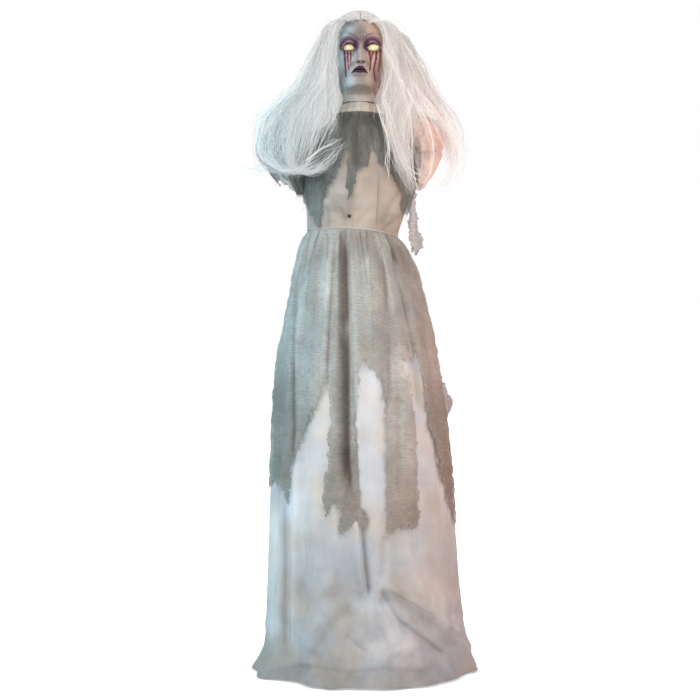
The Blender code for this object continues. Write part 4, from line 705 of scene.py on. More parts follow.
def skirt_points(angle, share, own_folds, lift):
    """The skirt's surface at angle round it and share of the way down, lifted off by lift."""
    wide = curve(SKIRT_SHARES, share, blur=0.014) - 0.05 * np.exp(-((share - 0.17) / 0.09) ** 2)
    size = np.minimum(1, share / 0.268)
    waves = sum(part * np.cos(count * angle + phase) for count, phase, part in FOLD_WAVES)
    ring = around(angle)
    front = step(0.0, 0.5, -np.sin(angle))
    out = FOLD_DEPTH * waves * size * (1 - 0.45 * front)
    tall = ring + np.stack([np.zeros_like(share), np.zeros_like(share), share * 0.12], axis=-1)
    long_folds = noise(tall, (0.16, 0.16, 0.6), 13) * 0.0130 * step(0.03, 0.22, share) * (1 - 0.4 * front)
    hip = np.exp(-(angle_off(angle, 0) / 0.7) ** 2 - ((share - 0.30) / 0.13) ** 2)
    out = out + gathers(angle, share) + long_folds - 0.014 * hip
    half_x = SKIRT_WAIST_HALF[0] + (HEM_HALF[0] - SKIRT_WAIST_HALF[0]) * wide
    half_y = SKIRT_WAIST_HALF[1] + (HEM_HALF[1] - SKIRT_WAIST_HALF[1]) * wide
    lean = LEAN * curve(SKIRT_LEAN, share, blur=0.02)
    z = SKIRT_TOP * (1 - share)
    x = lean + (half_x + out) * np.cos(angle)
    y = (half_y + out) * np.sin(angle)
    px, py = pixel_of(x, y, z)
    drawn = creases(px, py, SHARED_FOLDS) + creases(px, py, own_folds)
    bulge = np.exp(-((angle_off(angle, -0.12)) / 0.22) ** 2 - ((share - 0.955) / 0.018) ** 2)
    corner = np.exp(-((angle_off(angle, -2.70)) / 0.22) ** 2) * step(0.94, 0.995, share)
    out = out + drawn * front + lift + 0.012 * bulge + 0.020 * corner
    place = np.stack([x, y, z], axis=-1)
    low = 1 + 1.6 * step(0.72, 0.96, share)
    out = out + CRUMPLE * low * rough(place, (0.055, 0.055, 0.075), 21, 4) * step(0.02, 0.12, share)
    sharp = np.abs(rough(place, (0.060, 0.060, 0.085), 25, 2))
    out = out + 2.4 * CRUMPLE * (low - 0.75) * (sharp - 0.35) * step(0.30, 0.60, share)
    across, ahead = np.cos(angle) ** 2, np.sin(angle) ** 2
    need = (HOOP_HALF[0] - half_x) * across + (HOOP_HALF[1] - half_y) * ahead
    need = need + HOOP_ROOM + np.maximum(lift, 0)
    out = out + np.exp(-((z - HOOP_HEIGHT) / 0.028) ** 2) * np.maximum(need - out, 0)
    x = lean + (half_x + out) * np.cos(angle)
    y = (half_y + out) * np.sin(angle)
    return np.stack([x, y, z + waist_tilt(angle) * np.exp(-share / 0.05)], axis=-1)


def flat_layer(angle, share, width, length):
    return np.stack([angle / (2 * math.pi) * width, share * length, np.zeros_like(angle)], axis=-1)


# Cells round the figure begin at its back
BACK = -1.5 * math.pi
SKIRT_FLAT = (1.75, 1.13)
UNDER_CELLS = (520, 330)
UNDER_TUCK = 0.0035
HEM_HEIGHT = 0.0015
angle, share = tube_grid(UNDER_CELLS[0], np.linspace(0, 1, UNDER_CELLS[1]), BACK)
covered = step(0.62, 0.50, share)
under = skirt_points(angle, share, UNDER_FOLDS, lift=-UNDER_TUCK * covered)
hem_lift = 0.004 + 0.004 * noise(around(angle), 0.16, 31)
settled = step(0.975, 1.0, share)
under[..., 2] = np.maximum(under[..., 2] + hem_lift * settled, HEM_HEIGHT)
# Random mottle low on the skirt, with painted shade along the crumples' creases and painted light on their
# facets
mottle = 0.07 * rough(under, (0.030, 0.030, 0.11), 511, 3) * step(0.45, 0.75, share)
mottle += 0.05 * rough(under, (0.014, 0.014, 0.034), 521, 2) * step(0.55, 0.80, share)
crumpled = np.abs(rough(under, (0.050, 0.050, 0.065), 515, 3))
crumple_shading = 0.16 * np.minimum(crumpled, 0.7) - 0.03 * np.exp(-(crumpled / 0.12) ** 2)
mottle += crumple_shading * step(0.62, 0.90, share)
tone = tone_layer(under, SKIRT_PAINTED_SHADING, SKIRT_SHADE_BY_HEIGHT, mottle)
skirt = grid_mesh("underskirt_cloth", under, flat=flat_layer(angle, share, *SKIRT_FLAT), tone=tone)
dress(skirt, "skirt", "white_nonwoven", "stand", "underskirt")

# Ragged gauze in front, as outlines in the photograph's pixels, and round the back by angle
GAUZE_FRONT = [
    (200, 215), (200, 478), (262, 482), (267, 489), (271, 484), (277, 481), (283, 494), (289, 502),
    (290, 462), (297, 447), (306, 425), (313, 410), (319, 400), (323, 388), (326, 379), (329, 392),
    (330, 412), (328, 440), (327, 462), (324, 480), (322, 500), (323, 517), (328, 509), (335, 506),
    (341, 508), (340, 518), (338, 534), (343, 531), (349, 527), (356, 526), (361, 527), (367, 523),
    (366, 517), (361, 512), (360, 495), (357, 470), (356, 440), (355, 415), (357, 390), (361, 364),
    (367, 363), (373, 369), (379, 376), (384, 388), (386, 410), (387, 440), (387, 480), (386, 505),
    (388, 530), (396, 530), (408, 527), (419, 527), (418, 505), (417, 470), (416, 440), (414, 410),
    (410, 385), (404, 370), (402, 361), (409, 357), (416, 358), (421, 375), (425, 400), (430, 425),
    (437, 452), (444, 486), (449, 506), (454, 524), (457, 506), (500, 500), (500, 215),
]
GAUZE_BACK = (
    (0.0, 0.60), (0.30, 0.60), (0.42, 0.34), (0.52, 0.62), (0.86, 0.66), (1.05, 0.66), (1.14, 0.36),
    (1.30, 0.31), (1.44, 0.55), (1.62, 0.60), (1.98, 0.61), (2.06, 0.38), (2.14, 0.34), (2.22, 0.60),
    (2.56, 0.64), (2.70, 0.62), (2.78, 0.40), (2.86, 0.57), (3.15, 0.575),
)
DEEPEST_CREASE = 0.0018
GAUZE_CELLS = (700, 380)
GAUZE_REACH = 0.70
# How ragged a torn edge is, each with its size and seed: across and down in pixels in front, shares behind
GAUZE_TEARS = ((2.0, 0.012, 51), (5.0, (0.006, 0.006, 0.03), 55), (0.018, (0.012, 0.012, 0.04), 59))


def torn_cells(points, angle, gone, front, back, tears):
    """The cells left of a torn sheet: inside an outline in front, and as long as back says behind."""
    middle = (points[:-1] + points[1:]) / 2
    across, down, longer = (size * rough(middle, grain, seed, 3) for size, grain, seed in tears)
    px, py = pixel_of(*np.moveaxis(middle, -1, 0))
    length = column(back, np.mod(angle[:-1], 2 * math.pi)) + longer
    return np.where(middle[..., 1] < 0, inside(px + across, py + down, front), gone[:-1] < length)


angle, share = tube_grid(GAUZE_CELLS[0], np.linspace(0, GAUZE_REACH, GAUZE_CELLS[1]), BACK)
gauze = skirt_points(angle, share, GAUZE_FOLDS, lift=0.0015 + 0.0030 * np.minimum(1, share / 0.035))
loose = 0.0022 * rough(gauze, (0.05, 0.05, 0.016), 41, 3) * step(0.01, 0.08, share)
loose = np.maximum(loose, -DEEPEST_CREASE)
gauze[..., 0] += loose * np.cos(angle)
gauze[..., 1] += loose * np.sin(angle)
keep = torn_cells(gauze, angle, share, GAUZE_FRONT, GAUZE_BACK, GAUZE_TEARS)
# Painted shade in the gathers' valleys and painted highlight on their ridges
gather_shading = np.clip(46 * gathers(angle, share, 0.17), -0.50, 0.18)
tone = tone_layer(gauze, GAUZE_PAINTED_SHADING, GAUZE_SHADE_BY_HEIGHT, gather_shading)
overskirt = grid_mesh(
    "overskirt_gauze", gauze, keep=keep, flat=flat_layer(angle, share, *SKIRT_FLAT), tone=tone,
)
dress(overskirt, "gauze", "grey_gauze", "stand", "gauze_overskirt")


THREAD_POINTS = 7
THREAD_RADIUS = 0.00028


def fringe(name, points, keep, seed, chance, longest):
    """Loose threads that hang from a sheet's ragged lower edges."""
    random = np.random.default_rng(seed)
    below = np.zeros_like(keep)
    below[:-1] = keep[1:]
    rows, columns = np.nonzero(keep & ~below)
    picked = random.random(len(rows)) < chance
    rows, columns = rows[picked], columns[picked]
    start = points[np.minimum(rows + 1, points.shape[0] - 1), columns]
    length = longest * random.random(len(rows)) ** 1.8 + 0.002
    along = np.linspace(0, 1, THREAD_POINTS)
    path = np.repeat(start[:, None, :], THREAD_POINTS, axis=1)
    outwards = start[:, :2] / (np.linalg.norm(start[:, :2], axis=1, keepdims=True) + 1e-9)
    drift = random.normal(0, 0.35, (len(rows), 2)) * length[:, None] + outwards * 0.001
    path[..., 0] += along ** 1.5 * drift[:, :1]
    path[..., 1] += along ** 1.5 * drift[:, 1:]
    path[..., 2] += 0.002 - along * length[:, None]
    path[..., :2] += outwards[:, None, :] * 0.0006
    path += random.normal(0, 0.0004, path.shape) * along[None, :, None]
    threads = tubes(name, path, np.full(path.shape[:2], THREAD_RADIUS))
    return dress(threads, "thread", "grey_gauze", "stand")


skirt_threads = fringe("overskirt_threads", gauze, keep, 61, 0.55, 0.030)

# The bodice and the shawl
BODICE_FOLDS = (
    (0.0016, 1.0, 1.0, [(378, 172), (377, 200), (375, 229)]),
    (-0.0016, 1.5, 1.5, [(380, 172), (379, 200), (377, 229)]),
    (-0.0030, 2.5, 3, [(343, 232), (338, 215), (333, 198)]),
    (-0.0026, 2, 2.5, [(347, 231), (345, 222), (340, 206)]),
    (-0.0030, 3, 4, [(353, 231), (366, 216), (376, 206)]),
    (-0.0036, 4, 4, [(378, 228), (390, 205), (400, 188)]),
    (-0.0030, 3, 3, [(381, 230), (392, 222), (400, 214)]),
    (0.0022, 4, 4, [(322, 198), (330, 208), (333, 225)]),
    (-0.0022, 2, 2, [(326, 205), (328, 216), (327, 230)]),
)
SHAWL_FOLDS = (
    (-0.006, 3, 2, [(345, 116), (343, 135), (346, 150)]),
    (-0.006, 3, 2, [(357, 113), (357, 135), (357, 165)]),
    (0.005, 3, 3, [(351, 114), (351, 140), (351, 170)]),
    (-0.006, 2, 3, [(367, 113), (369, 130), (371, 146)]),
    (0.004, 3, 3, [(333, 120), (331, 150), (329, 180)]),
    (-0.006, 3, 3, [(326, 124), (323, 150), (321, 190)]),
    (-0.006, 3, 4, [(377, 118), (383, 140), (393, 168)]),
    (0.005, 4, 4, [(384, 120), (392, 145), (401, 180)]),
    (-0.005, 2, 2, [(340, 140), (336, 165), (330, 182)]),
    (-0.004, 2, 2, [(390, 125), (399, 150), (404, 175)]),
    (-0.004, 2, 2, [(314, 150), (314, 175), (317, 200)]),
)
# Painted shade in the folds and painted highlight on their ridges for the bodice, shawl and sleeves; on the
# right sleeve a dark line at the gathered seam, with painted shade beside it
BODICE_PAINTED_SHADING = (
    (-0.34, 6, 7, [(351, 190), (349, 208), (344, 222)]),
    (-0.24, 9, 9, [(340, 192), (334, 214)]),
    (-0.14, 7, 7, [(366, 174), (362, 196), (357, 214)]),
    (0.19, 7, 8, [(388, 176), (391, 200), (390, 216)]),
    (-0.20, 2.5, 3, [(380, 226), (390, 206), (399, 190)]),
    (-0.17, 2, 2, [(381, 230), (392, 222), (400, 214)]),
    (-0.18, 0.8, 0.8, [(378, 172), (377.5, 200), (376, 229)]),
    (-0.15, 2, 2.5, [(326, 203), (329, 216), (328, 230)]),
    (-0.08, 1.5, 2.5, [(347, 228), (345, 218), (340, 205)]),
)
SHAWL_PAINTED_SHADING = (
    (-0.42, 6, 5, [(353, 122), (355, 145), (357, 170)]),
    (0.10, 5, 5, [(334, 140), (331, 160), (327, 182)]),
    (-0.16, 4, 4, [(343, 118), (344, 134), (346, 146)]),
    (-0.20, 4, 4, [(371, 114), (372, 128), (373, 142)]),
    (0.10, 6, 6, [(385, 135), (394, 152), (400, 172)]),
    (-0.18, 3, 3, [(383, 163), (392, 172), (399, 184)]),
    (-0.22, 6, 6, [(322, 124), (321, 145), (319, 165)]),
)
SLEEVE_PAINTED_SHADING = (
    (-0.45, 1.0, 1.2, [(412, 154), (422, 152), (438, 151)]),
    (-0.20, 5, 5, [(412, 158), (424, 157), (438, 156)]),
    (-0.15, 4, 4, [(420, 192), (416, 182), (414, 172)]),
)
# Painted shade, darker towards the sleeves' lower ends
SLEEVE_SHADE_BY_HEIGHT = ((1.20, 0.86), (1.28, 0.98), (1.40, 1.0))
# The least that what lies on the bodice stays off it
ROOM = 0.0026


def bodice_points(angle, share, lift=0.0, own_folds=(), loose=0.0):
    """The bodice's surface at angle round it and share of the way up; what lies on it stays off it."""
    halves = []
    for index, (low, full) in enumerate(zip(WAIST_HALF, BUST_HALF), 1):
        at = curve(BODICE_SHARES, share, index, 0.035)
        halves.append(low + np.where(at > 0, (full - low) * at, (low - NECKLINE_RADIUS) * at))
    lean = LEAN * curve(BODICE_LEAN, share, blur=0.03)
    z = WAIST_HEIGHT + BODICE_HEIGHT * share
    x = lean + halves[0] * np.cos(angle)
    y = halves[1] * np.sin(angle)
    px, py = pixel_of(x, y, z)
    front = step(0.0, 0.4, -np.sin(angle))
    out = creases(px, py, BODICE_FOLDS) * front
    place = np.stack([x, y, z], axis=-1)
    puckers = 0.0014 * noise(around(angle), 0.05, 71) * (np.exp(-share / 0.10) + np.exp(-(1 - share) / 0.10))
    out = out + puckers + 0.0012 * rough(place, (0.045, 0.045, 0.06), 75, 3)
    if lift > 0:
        out = out + np.maximum(lift + creases(px, py, own_folds) * front + loose, ROOM)
    z = z + waist_tilt(angle) * np.exp(-share / 0.10)
    return np.stack([x + out * np.cos(angle), y + out * np.sin(angle), z], axis=-1)


BODICE_CELLS = (420, 220)
angle, share = tube_grid(BODICE_CELLS[0], np.linspace(0, 1, BODICE_CELLS[1]), BACK)
back_seam = np.exp(-angle_off(angle, math.pi / 2) ** 2 / 0.012 ** 2)
body_points = bodice_points(angle, share)
body_points[..., 1] -= 0.0022 * back_seam
tone = tone_layer(body_points, BODICE_PAINTED_SHADING, SHAWL_SHADE_BY_HEIGHT)
bodice = grid_mesh("bodice_cloth", body_points, flat=flat_layer(angle, share, 0.80, 0.31), tone=tone)
dress(bodice, "bodice", "white_nonwoven", "stand", "bodice")

SHAWL_FRONT = [
    (280, 100), (365, 100), (440, 100), (440, 214), (405, 214), (402, 207), (402, 195), (396, 181),
    (389, 171), (380, 164), (375, 155), (371, 146), (369, 157), (365, 167), (357, 172), (355, 182),
    (351, 198), (347, 199), (345, 186), (347, 165), (346, 147), (340, 162), (335, 174), (327, 187),
    (323, 198), (321, 215), (320, 236), (316, 223), (309, 214), (300, 197), (280, 190),
]
SHAWL_BACK = (
    (0.0, 0.58), (0.2, 0.60), (0.35, 0.42), (0.6, 0.72), (0.8, 0.45), (1.2, 0.50), (1.45, 0.70),
    (1.8, 0.42), (2.1, 0.66), (2.35, 0.46), (2.7, 0.55), (2.95, 0.72), (3.15, 0.62),
)
SHAWL_TEARS = ((1.6, 0.010, 87), (3.0, (0.006, 0.006, 0.02), 89), (0.04, (0.012, 0.012, 0.03), 91))
SHAWL_FLAT = (0.85, 0.33)
SHAWL_CELLS = (460, 260)
angle, share = tube_grid(SHAWL_CELLS[0], np.linspace(1, 0, SHAWL_CELLS[1]), BACK)
plain_points = bodice_points(angle, share)
loose = 0.0034 * rough(plain_points, (0.022, 0.022, 0.050), 81, 3)
loose += 0.0036 * noise(around(angle), 0.060, 85) * step(0.35, 0.95, share)
loose += 0.0024 * noise(around(angle), 0.030, 86) * step(0.60, 0.97, share)
shawl_points = bodice_points(angle, share, 0.0070, SHAWL_FOLDS, loose)
keep = torn_cells(shawl_points, angle, 1 - share, SHAWL_FRONT, SHAWL_BACK, SHAWL_TEARS)
stripes = 0.16 + 0.16 * step(0.6, 0.95, share)
stripes = stripes * rough(around(angle) + 0.02 * share[..., None], 0.045, 97, 3)
tone = tone_layer(shawl_points, SHAWL_PAINTED_SHADING, SHAWL_SHADE_BY_HEIGHT, stripes)
shawl = grid_mesh(
    "shawl_gauze_cloth", shawl_points, keep=keep, flat=flat_layer(angle, share, *SHAWL_FLAT), tone=tone,
)
dress(shawl, "shawl", "grey_gauze", "stand", "gauze_shawl")
shawl_threads = fringe("shawl_threads", shawl_points, keep, 93, 0.35, 0.018)

# The gathered waist seam with its piping
PIPING_RADIUS = 0.0013
PIPING_CELLS = (420, 13)
angle, section = tube_grid(PIPING_CELLS[0], np.linspace(0, 2 * math.pi, PIPING_CELLS[1]))
pinch = 1 + 0.25 * noise(around(angle), 0.045, 95)
band_out = 0.0015 + PIPING_RADIUS * pinch * np.cos(section)
band_rise = PIPING_RADIUS * 1.5 * np.sin(section)
band = np.stack([
    -LEAN + (WAIST_HALF[0] + band_out) * np.cos(angle),
    (WAIST_HALF[1] + band_out) * np.sin(angle),
    WAIST_HEIGHT + waist_tilt(angle) + band_rise,
], axis=-1)
piping = grid_mesh("waist_piping", band[::-1], tone=np.ones(band.shape[:2]))
dress(piping, "piping", "white_nonwoven", "stand", "waistband")

# The stuffed sleeves: rows of height, outer and inner edge from the middle, half depth
SLEEVES = {
    "sleeve_left": (-1, (
        (1.420, 0.160, 0.140, 0.004), (1.412, 0.196, 0.122, 0.030), (1.395, 0.226, 0.116, 0.046),
        (1.370, 0.242, 0.122, 0.056), (1.335, 0.247, 0.136, 0.060), (1.300, 0.240, 0.138, 0.056),
        (1.272, 0.224, 0.138, 0.048), (1.250, 0.204, 0.138, 0.038), (1.234, 0.182, 0.140, 0.026),
        (1.225, 0.162, 0.146, 0.006),
    ), (), 101),
    "sleeve_right": (1, (
        (1.426, 0.150, 0.130, 0.004), (1.416, 0.184, 0.112, 0.030), (1.398, 0.210, 0.108, 0.046),
        (1.372, 0.222, 0.118, 0.056), (1.345, 0.224, 0.134, 0.058), (1.318, 0.221, 0.138, 0.056),
        (1.290, 0.212, 0.139, 0.052), (1.266, 0.196, 0.140, 0.044), (1.246, 0.180, 0.142, 0.032),
        (1.232, 0.164, 0.148, 0.006),
    ), (0.48,), 111),
}


def sleeve_points(side, rows, seams, seed, swell=0.0, cells=(160, 130)):
    """A stuffed stub: full at the shoulder, drawn in at its seams and gathered to a point below."""
    angle, share = tube_grid(cells[0], 0.5 - 0.5 * np.cos(np.linspace(0, math.pi, cells[1])))
    top, low = rows[0][0], rows[-1][0]
    height = [(top - row[0]) / (top - low) for row in rows]
    outer, inner, deep = (np.interp(share, height, [row[k] for row in rows]) for k in (1, 2, 3))
    gather = noise(around(angle), 0.30, seed) * 0.13 + noise(around(angle), 0.15, seed + 1) * 0.09
    pull = step(0.50, 1.0, share) + 0.7 * (1 - step(0.0, 0.40, share))
    size = 1 + gather * pull
    for seam in seams:
        size -= 0.12 * np.exp(-((share - seam) / 0.022) ** 2)
        size += 0.9 * gather * np.exp(-((share - seam) / 0.09) ** 2)
    half = (outer - inner) / 2
    x = side * ((outer + inner) / 2 + half * size * np.cos(angle))
    y = deep * size * np.sin(angle)
    z = top + (low - top) * share
    place = np.stack([x, y, z], axis=-1)
    dents = 0.0028 * rough(place, 0.032, seed + 3, 3) + 0.0012 * rough(place, 0.012, seed + 7, 2)
    out = swell + dents * step(0, 0.1, share)
    place[..., 0] += side * out * np.cos(angle)
    place[..., 1] += out * np.sin(angle)
    place[..., 2] += swell * (1 - 2 * share)
    return place[:, ::-side], angle, share


def rows_of(items, field):
    """One row of three numbers for each item of a mesh."""
    flat = np.empty(len(items) * 3, np.float32)
    items.foreach_get(field, flat)
    return flat.reshape(-1, 3)


STUFFING_PRESSURE = 4.0
STUFFING_FRAMES = 20
STUFFING_CAP = 0.0048
CUT_LARGER = 0.05
CLOTH_BENDING = 0.3


def stuff(piece, held, cap):
    """The piece's cloth, cut a little large, blown up by its stuffing and held where held is true."""
    before = rows_of(piece.data.vertices, "co")
    group = piece.vertex_groups.new(name="held")
    group.add([int(index) for index in np.flatnonzero(held)], 1.0, "REPLACE")
    cloth = piece.modifiers.new("stuffing", "CLOTH")
    cloth.settings.vertex_group_mass = "held"
    cloth.settings.use_pressure = True
    cloth.settings.uniform_pressure_force = STUFFING_PRESSURE
    cloth.settings.shrink_min = -CUT_LARGER
    cloth.settings.bending_stiffness = CLOTH_BENDING
    cloth.settings.effector_weights.gravity = 0.0
    cloth.point_cache.frame_end = STUFFING_FRAMES
    for moment in range(1, STUFFING_FRAMES + 1):
        bpy.context.scene.frame_set(moment)
    depsgraph = bpy.context.evaluated_depsgraph_get()
    moved = rows_of(piece.evaluated_get(depsgraph).data.vertices, "co") - before
    piece.modifiers.remove(cloth)
    piece.vertex_groups.remove(group)
    bpy.context.scene.frame_set(1)
    outwards = rows_of(piece.data.vertex_normals, "vector")
    rise = np.sum(moved * outwards, axis=1, keepdims=True)
    moved -= outwards * np.minimum(rise + DEEPEST_CREASE, 0)
    far = np.linalg.norm(moved, axis=1, keepdims=True) + 1e-9
    moved *= np.minimum(1, cap / far)
    piece.data.vertices.foreach_set("co", (before + moved).ravel())
    piece.modifiers.new("rounding", "SUBSURF").levels = 1
    depsgraph = bpy.context.evaluated_depsgraph_get()
    rounded = bpy.data.meshes.new_from_object(piece.evaluated_get(depsgraph))
    piece.modifiers.clear()
    piece.data = rounded
    rounded.shade_smooth()


SLEEVE_CELLS = (84, 60)
SLEEVE_SLACK = 0.0015
SLEEVE_FLAT = (0.36, 0.26)
for name, facts in SLEEVES.items():
    place, angle, share = sleeve_points(*facts, swell=-SLEEVE_SLACK, cells=SLEEVE_CELLS)
    tone = tone_layer(place, SLEEVE_PAINTED_SHADING, SLEEVE_SHADE_BY_HEIGHT)
    sleeve = grid_mesh(name + "_stuffed", place, flat=flat_layer(angle, share, *SLEEVE_FLAT), tone=tone)
    held = (share < 0.04) | (share > 0.96)
    for seam in facts[2]:
        held |= np.abs(share - seam) < 0.02
    stuff(sleeve, held.ravel(), STUFFING_CAP)
    dress(sleeve, "sleeve", "pale_sleeve", "stand", name)

# Gauze over the left sleeve, in one ragged lobe
LOBE_LIFT = 0.004
LOBE_REACH = 0.80
place, angle, share = sleeve_points(*SLEEVES["sleeve_left"], swell=LOBE_LIFT)
wrinkle = 0.0016 * rough(place, (0.02, 0.02, 0.04), 131, 3)
place[..., 0] += wrinkle * np.sign(place[..., 0])
place[..., 1] += wrinkle * np.sign(place[..., 1])
middle = (place[:-1] + place[1:]) / 2
body_side = step(0.175, 0.150, np.abs(middle[..., 0]))
reach = LOBE_REACH + 0.16 * noise(around(angle[:-1]), 0.5, 133) + 0.05 * rough(middle, 0.01, 135, 3)
keep = share[:-1] < reach + 0.3 * body_side
tone = tone_layer(place, SLEEVE_PAINTED_SHADING, SLEEVE_SHADE_BY_HEIGHT)
flat = flat_layer(angle, share, *SLEEVE_FLAT)
lobe = grid_mesh("sleeve_left_gauze", place, keep=keep, flat=flat, tone=tone)
dress(lobe, "shawl", "grey_gauze", "stand")
lobe_threads = fringe("sleeve_left_threads", place, keep, 137, 0.5, 0.012)

# The ragged tail under the right sleeve
TAIL_TOP = 1.2297
TAIL_LENGTH = 0.160
TAIL_HALF_WIDTH = 0.018
TAIL_SHARES = (
    (0, -0.70, 0.70), (0.2, -0.50, 0.55), (0.4, -0.50, 0.65), (0.6, -0.60, 0.70), (0.78, -0.65, 1.35),
    (0.92, -0.35, 1.45), (1, -0.10, 0.50),
)
STRIP_CELLS = (60, 190)
# How much longer a rippled strip is than it hangs
RIPPLE = 1.2
tail_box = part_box("gauze_tail")
tail_y = (tail_box[0].y + tail_box[1].y) / 2


def ragged_strip(name, top, low, half_width, seed):
    """A torn strip that hangs from top to low, with the half widths of TAIL_SHARES, and its flat area."""
    across, share = np.meshgrid(*(np.linspace(0, 1, count) for count in STRIP_CELLS))
    left = column(TAIL_SHARES, share, 1)
    right = column(TAIL_SHARES, share, 2)
    ragged = np.stack([across, share * 4, np.zeros_like(share)], axis=-1)
    edge = 0.24 * rough(ragged, 0.16, seed, 3) + 0.05 * noise(ragged, 0.03, seed + 3)
    place = np.array(top) + (np.array(low) - np.array(top)) * share[..., None]
    aside = half_width * (left + (right - left) * across + edge * (2 * across - 1))
    place[..., 0] += aside
    place[..., 1] += 0.0020 * np.sin(across * 7 + share * 5) + 0.0014 * rough(ragged, 0.45, seed + 4, 2)
    place[..., 2] -= 0.010 * step(0.9, 1, share) * rough(ragged, 0.2, seed + 6, 2)
    length = math.dist(top, low)
    flat = np.stack([aside, share * length, np.zeros_like(share)], axis=-1)
    tone = np.clip(0.95 + 0.12 * rough(ragged, 0.15, seed + 8, 2), 0, 1.1)
    strip = grid_mesh(name, place, closed=False, flat=flat, tone=tone)
    dress(strip, "tail", "grey_gauze", "stand")
    return strip, float(np.mean(aside[:, -1] - aside[:, 0])) * length * RIPPLE


tail_ends = (0.136, tail_y, TAIL_TOP + 0.012), (0.141, tail_y, TAIL_TOP - TAIL_LENGTH)
tail, tail_area = ragged_strip("gauze_tail_cloth", *tail_ends, TAIL_HALF_WIDTH, 141)
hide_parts("gauze_tail")
side_ends = (0.182, 0.050, 0.870), (0.219, 0.045, 0.650)
side_tail, side_area = ragged_strip("skirt_tail_cloth", *side_ends, 0.022, 151)

# The head


def head_points(angle, share, swell=0.0):
    wide = curve(HEAD_SHARES, share, 1, 0.022) * HEAD_HALF_WIDTH
    front = curve(HEAD_SHARES, share, 2, 0.022) * FACE_DEPTH
    back = curve(HEAD_SHARES, share, 3, 0.022) * HEAD_BACK_DEPTH
    c, s = np.cos(angle), np.sin(angle)
    power = 2 / FACE_FULLNESS
    x = np.where(s < 0, np.sign(c) * np.abs(c) ** power, c) * (wide + swell)
    y = np.where(s < 0, -np.abs(s) ** power * (front + swell), s * (back + swell))
    z = SEAM_HEIGHT + HEAD_HEIGHT * share + swell * step(0.7, 1.0, share)
    return x, y, z


def hill(x, z, at_x, at_z, size_x, size_z):
    return np.exp(-((x - at_x) / size_x) ** 2 - ((z - at_z) / size_z) ** 2)


SEAM_LIP = 0.0003
LIP_EDGE = 0.0006
MOUTH_HALF = 0.0215
EYE_HALF = 0.0138
EYE_BASE = 1.5803
BROW = ((0.0050, 1.5980), (0.010, 1.6040), (0.018, 1.6110), (0.030, 1.6150), (0.046, 1.6110))
FACE_SHIFT = ((1.480, 0.0), (1.520, 0.0008), (1.550, 0.0050), (1.590, 0.0042), (1.630, 0.0020), (1.66, 0.0))
# Hills and hollows on both halves of the face: height, place across and up, size across and up
FACE_HILLS = (
    # Wings and holes of the nose, and the groove under it
    (0.0100, 0.0118, 1.5475, 0.0048, 0.0058), (-0.0090, 0.0058, 1.5428, 0.0028, 0.0018),
    (-0.0018, 0.0, 1.5375, 0.0022, 0.0040),
    # The frown's folds
    (-0.0065, 0.0, 1.6000, 0.0022, 0.0130), (-0.0035, 0.0065, 1.6050, 0.0016, 0.0080),
    # The eye's socket, its inner corner and the hollow under it
    (-0.0115, EYE_X - 0.003, EYE_BASE + 0.006, 0.0190, 0.0150), (-0.0070, 0.0135, 1.5850, 0.0060, 0.0130),
    (-0.0020, EYE_X, 1.5680, 0.0150, 0.0030),
    # Cheekbone and cheek
    (0.0075, 0.0420, 1.5620, 0.0150, 0.0110), (-0.0075, 0.0400, 1.5220, 0.0130, 0.0200),
    # The mouth's mound, the hollow under it, the chin and the forehead
    (0.0065, 0.0, 1.5230, 0.0240, 0.0150), (-0.0055, 0.0, 1.5085, 0.0150, 0.0042),
    (0.0095, 0.0, 1.4880, 0.0170, 0.0115), (0.0030, 0.030, 1.6300, 0.0200, 0.0160),
)
# Runs of paint under the eyes: strength, width in pixels and line
STREAKS = (
    (1.0, 1.25, [(344.2, 49), (344.8, 57), (345.4, 66), (346, 77)]),
    (1.0, 1.05, [(347.4, 49), (348.0, 60), (348.8, 69.5)]),
    (0.9, 1.05, [(350.6, 49), (350.8, 58), (350.4, 66)]),
    (0.5, 0.8, [(353.2, 49), (353.6, 53), (353.0, 56)]),
    (1.0, 1.2, [(369.0, 50), (370.2, 56), (370.6, 63), (369.8, 71)]),
    (0.9, 1.0, [(373.2, 51), (371.8, 57), (370.8, 62)]),
    (1.0, 1.1, [(376.4, 50), (376.0, 59), (373.8, 68), (374.2, 74), (375.2, 81)]),
    (0.8, 0.9, [(380.4, 50), (380.2, 58), (379.4, 65), (378.0, 72)]),
)


def mouth_top(side):
    slope = np.clip((side - 0.0055) / (MOUTH_HALF - 0.0055), 0, 1.2)
    return 1.5335 - 0.0012 * np.exp(-(side / 0.0030) ** 2) - 0.0178 * slope ** 1.15


def mouth_base(side):
    return 1.5150 + 0.0010 * np.sin(np.clip(side / MOUTH_HALF, 0, 1) * math.pi)


def mouth_line(side):
    return 1.5235 - 0.0082 * (side / MOUTH_HALF) ** 2


def eye_opening(side, z):
    """Above zero outside the lids' opening, below zero inside it, about 1 at a lid's width away."""
    across = (side - EYE_X) / EYE_HALF
    top = 0.0130 * np.sqrt(np.clip(1 - np.abs(across) ** 2.2, 0.0001, 1))
    low = 0.0020 * np.sqrt(np.clip(1 - across ** 4, 0.0001, 1))
    rise = z - EYE_BASE
    inner = np.where(rise > 0, rise / top, -rise / low * 0.5)
    return np.maximum(inner, np.abs(across)) - 1


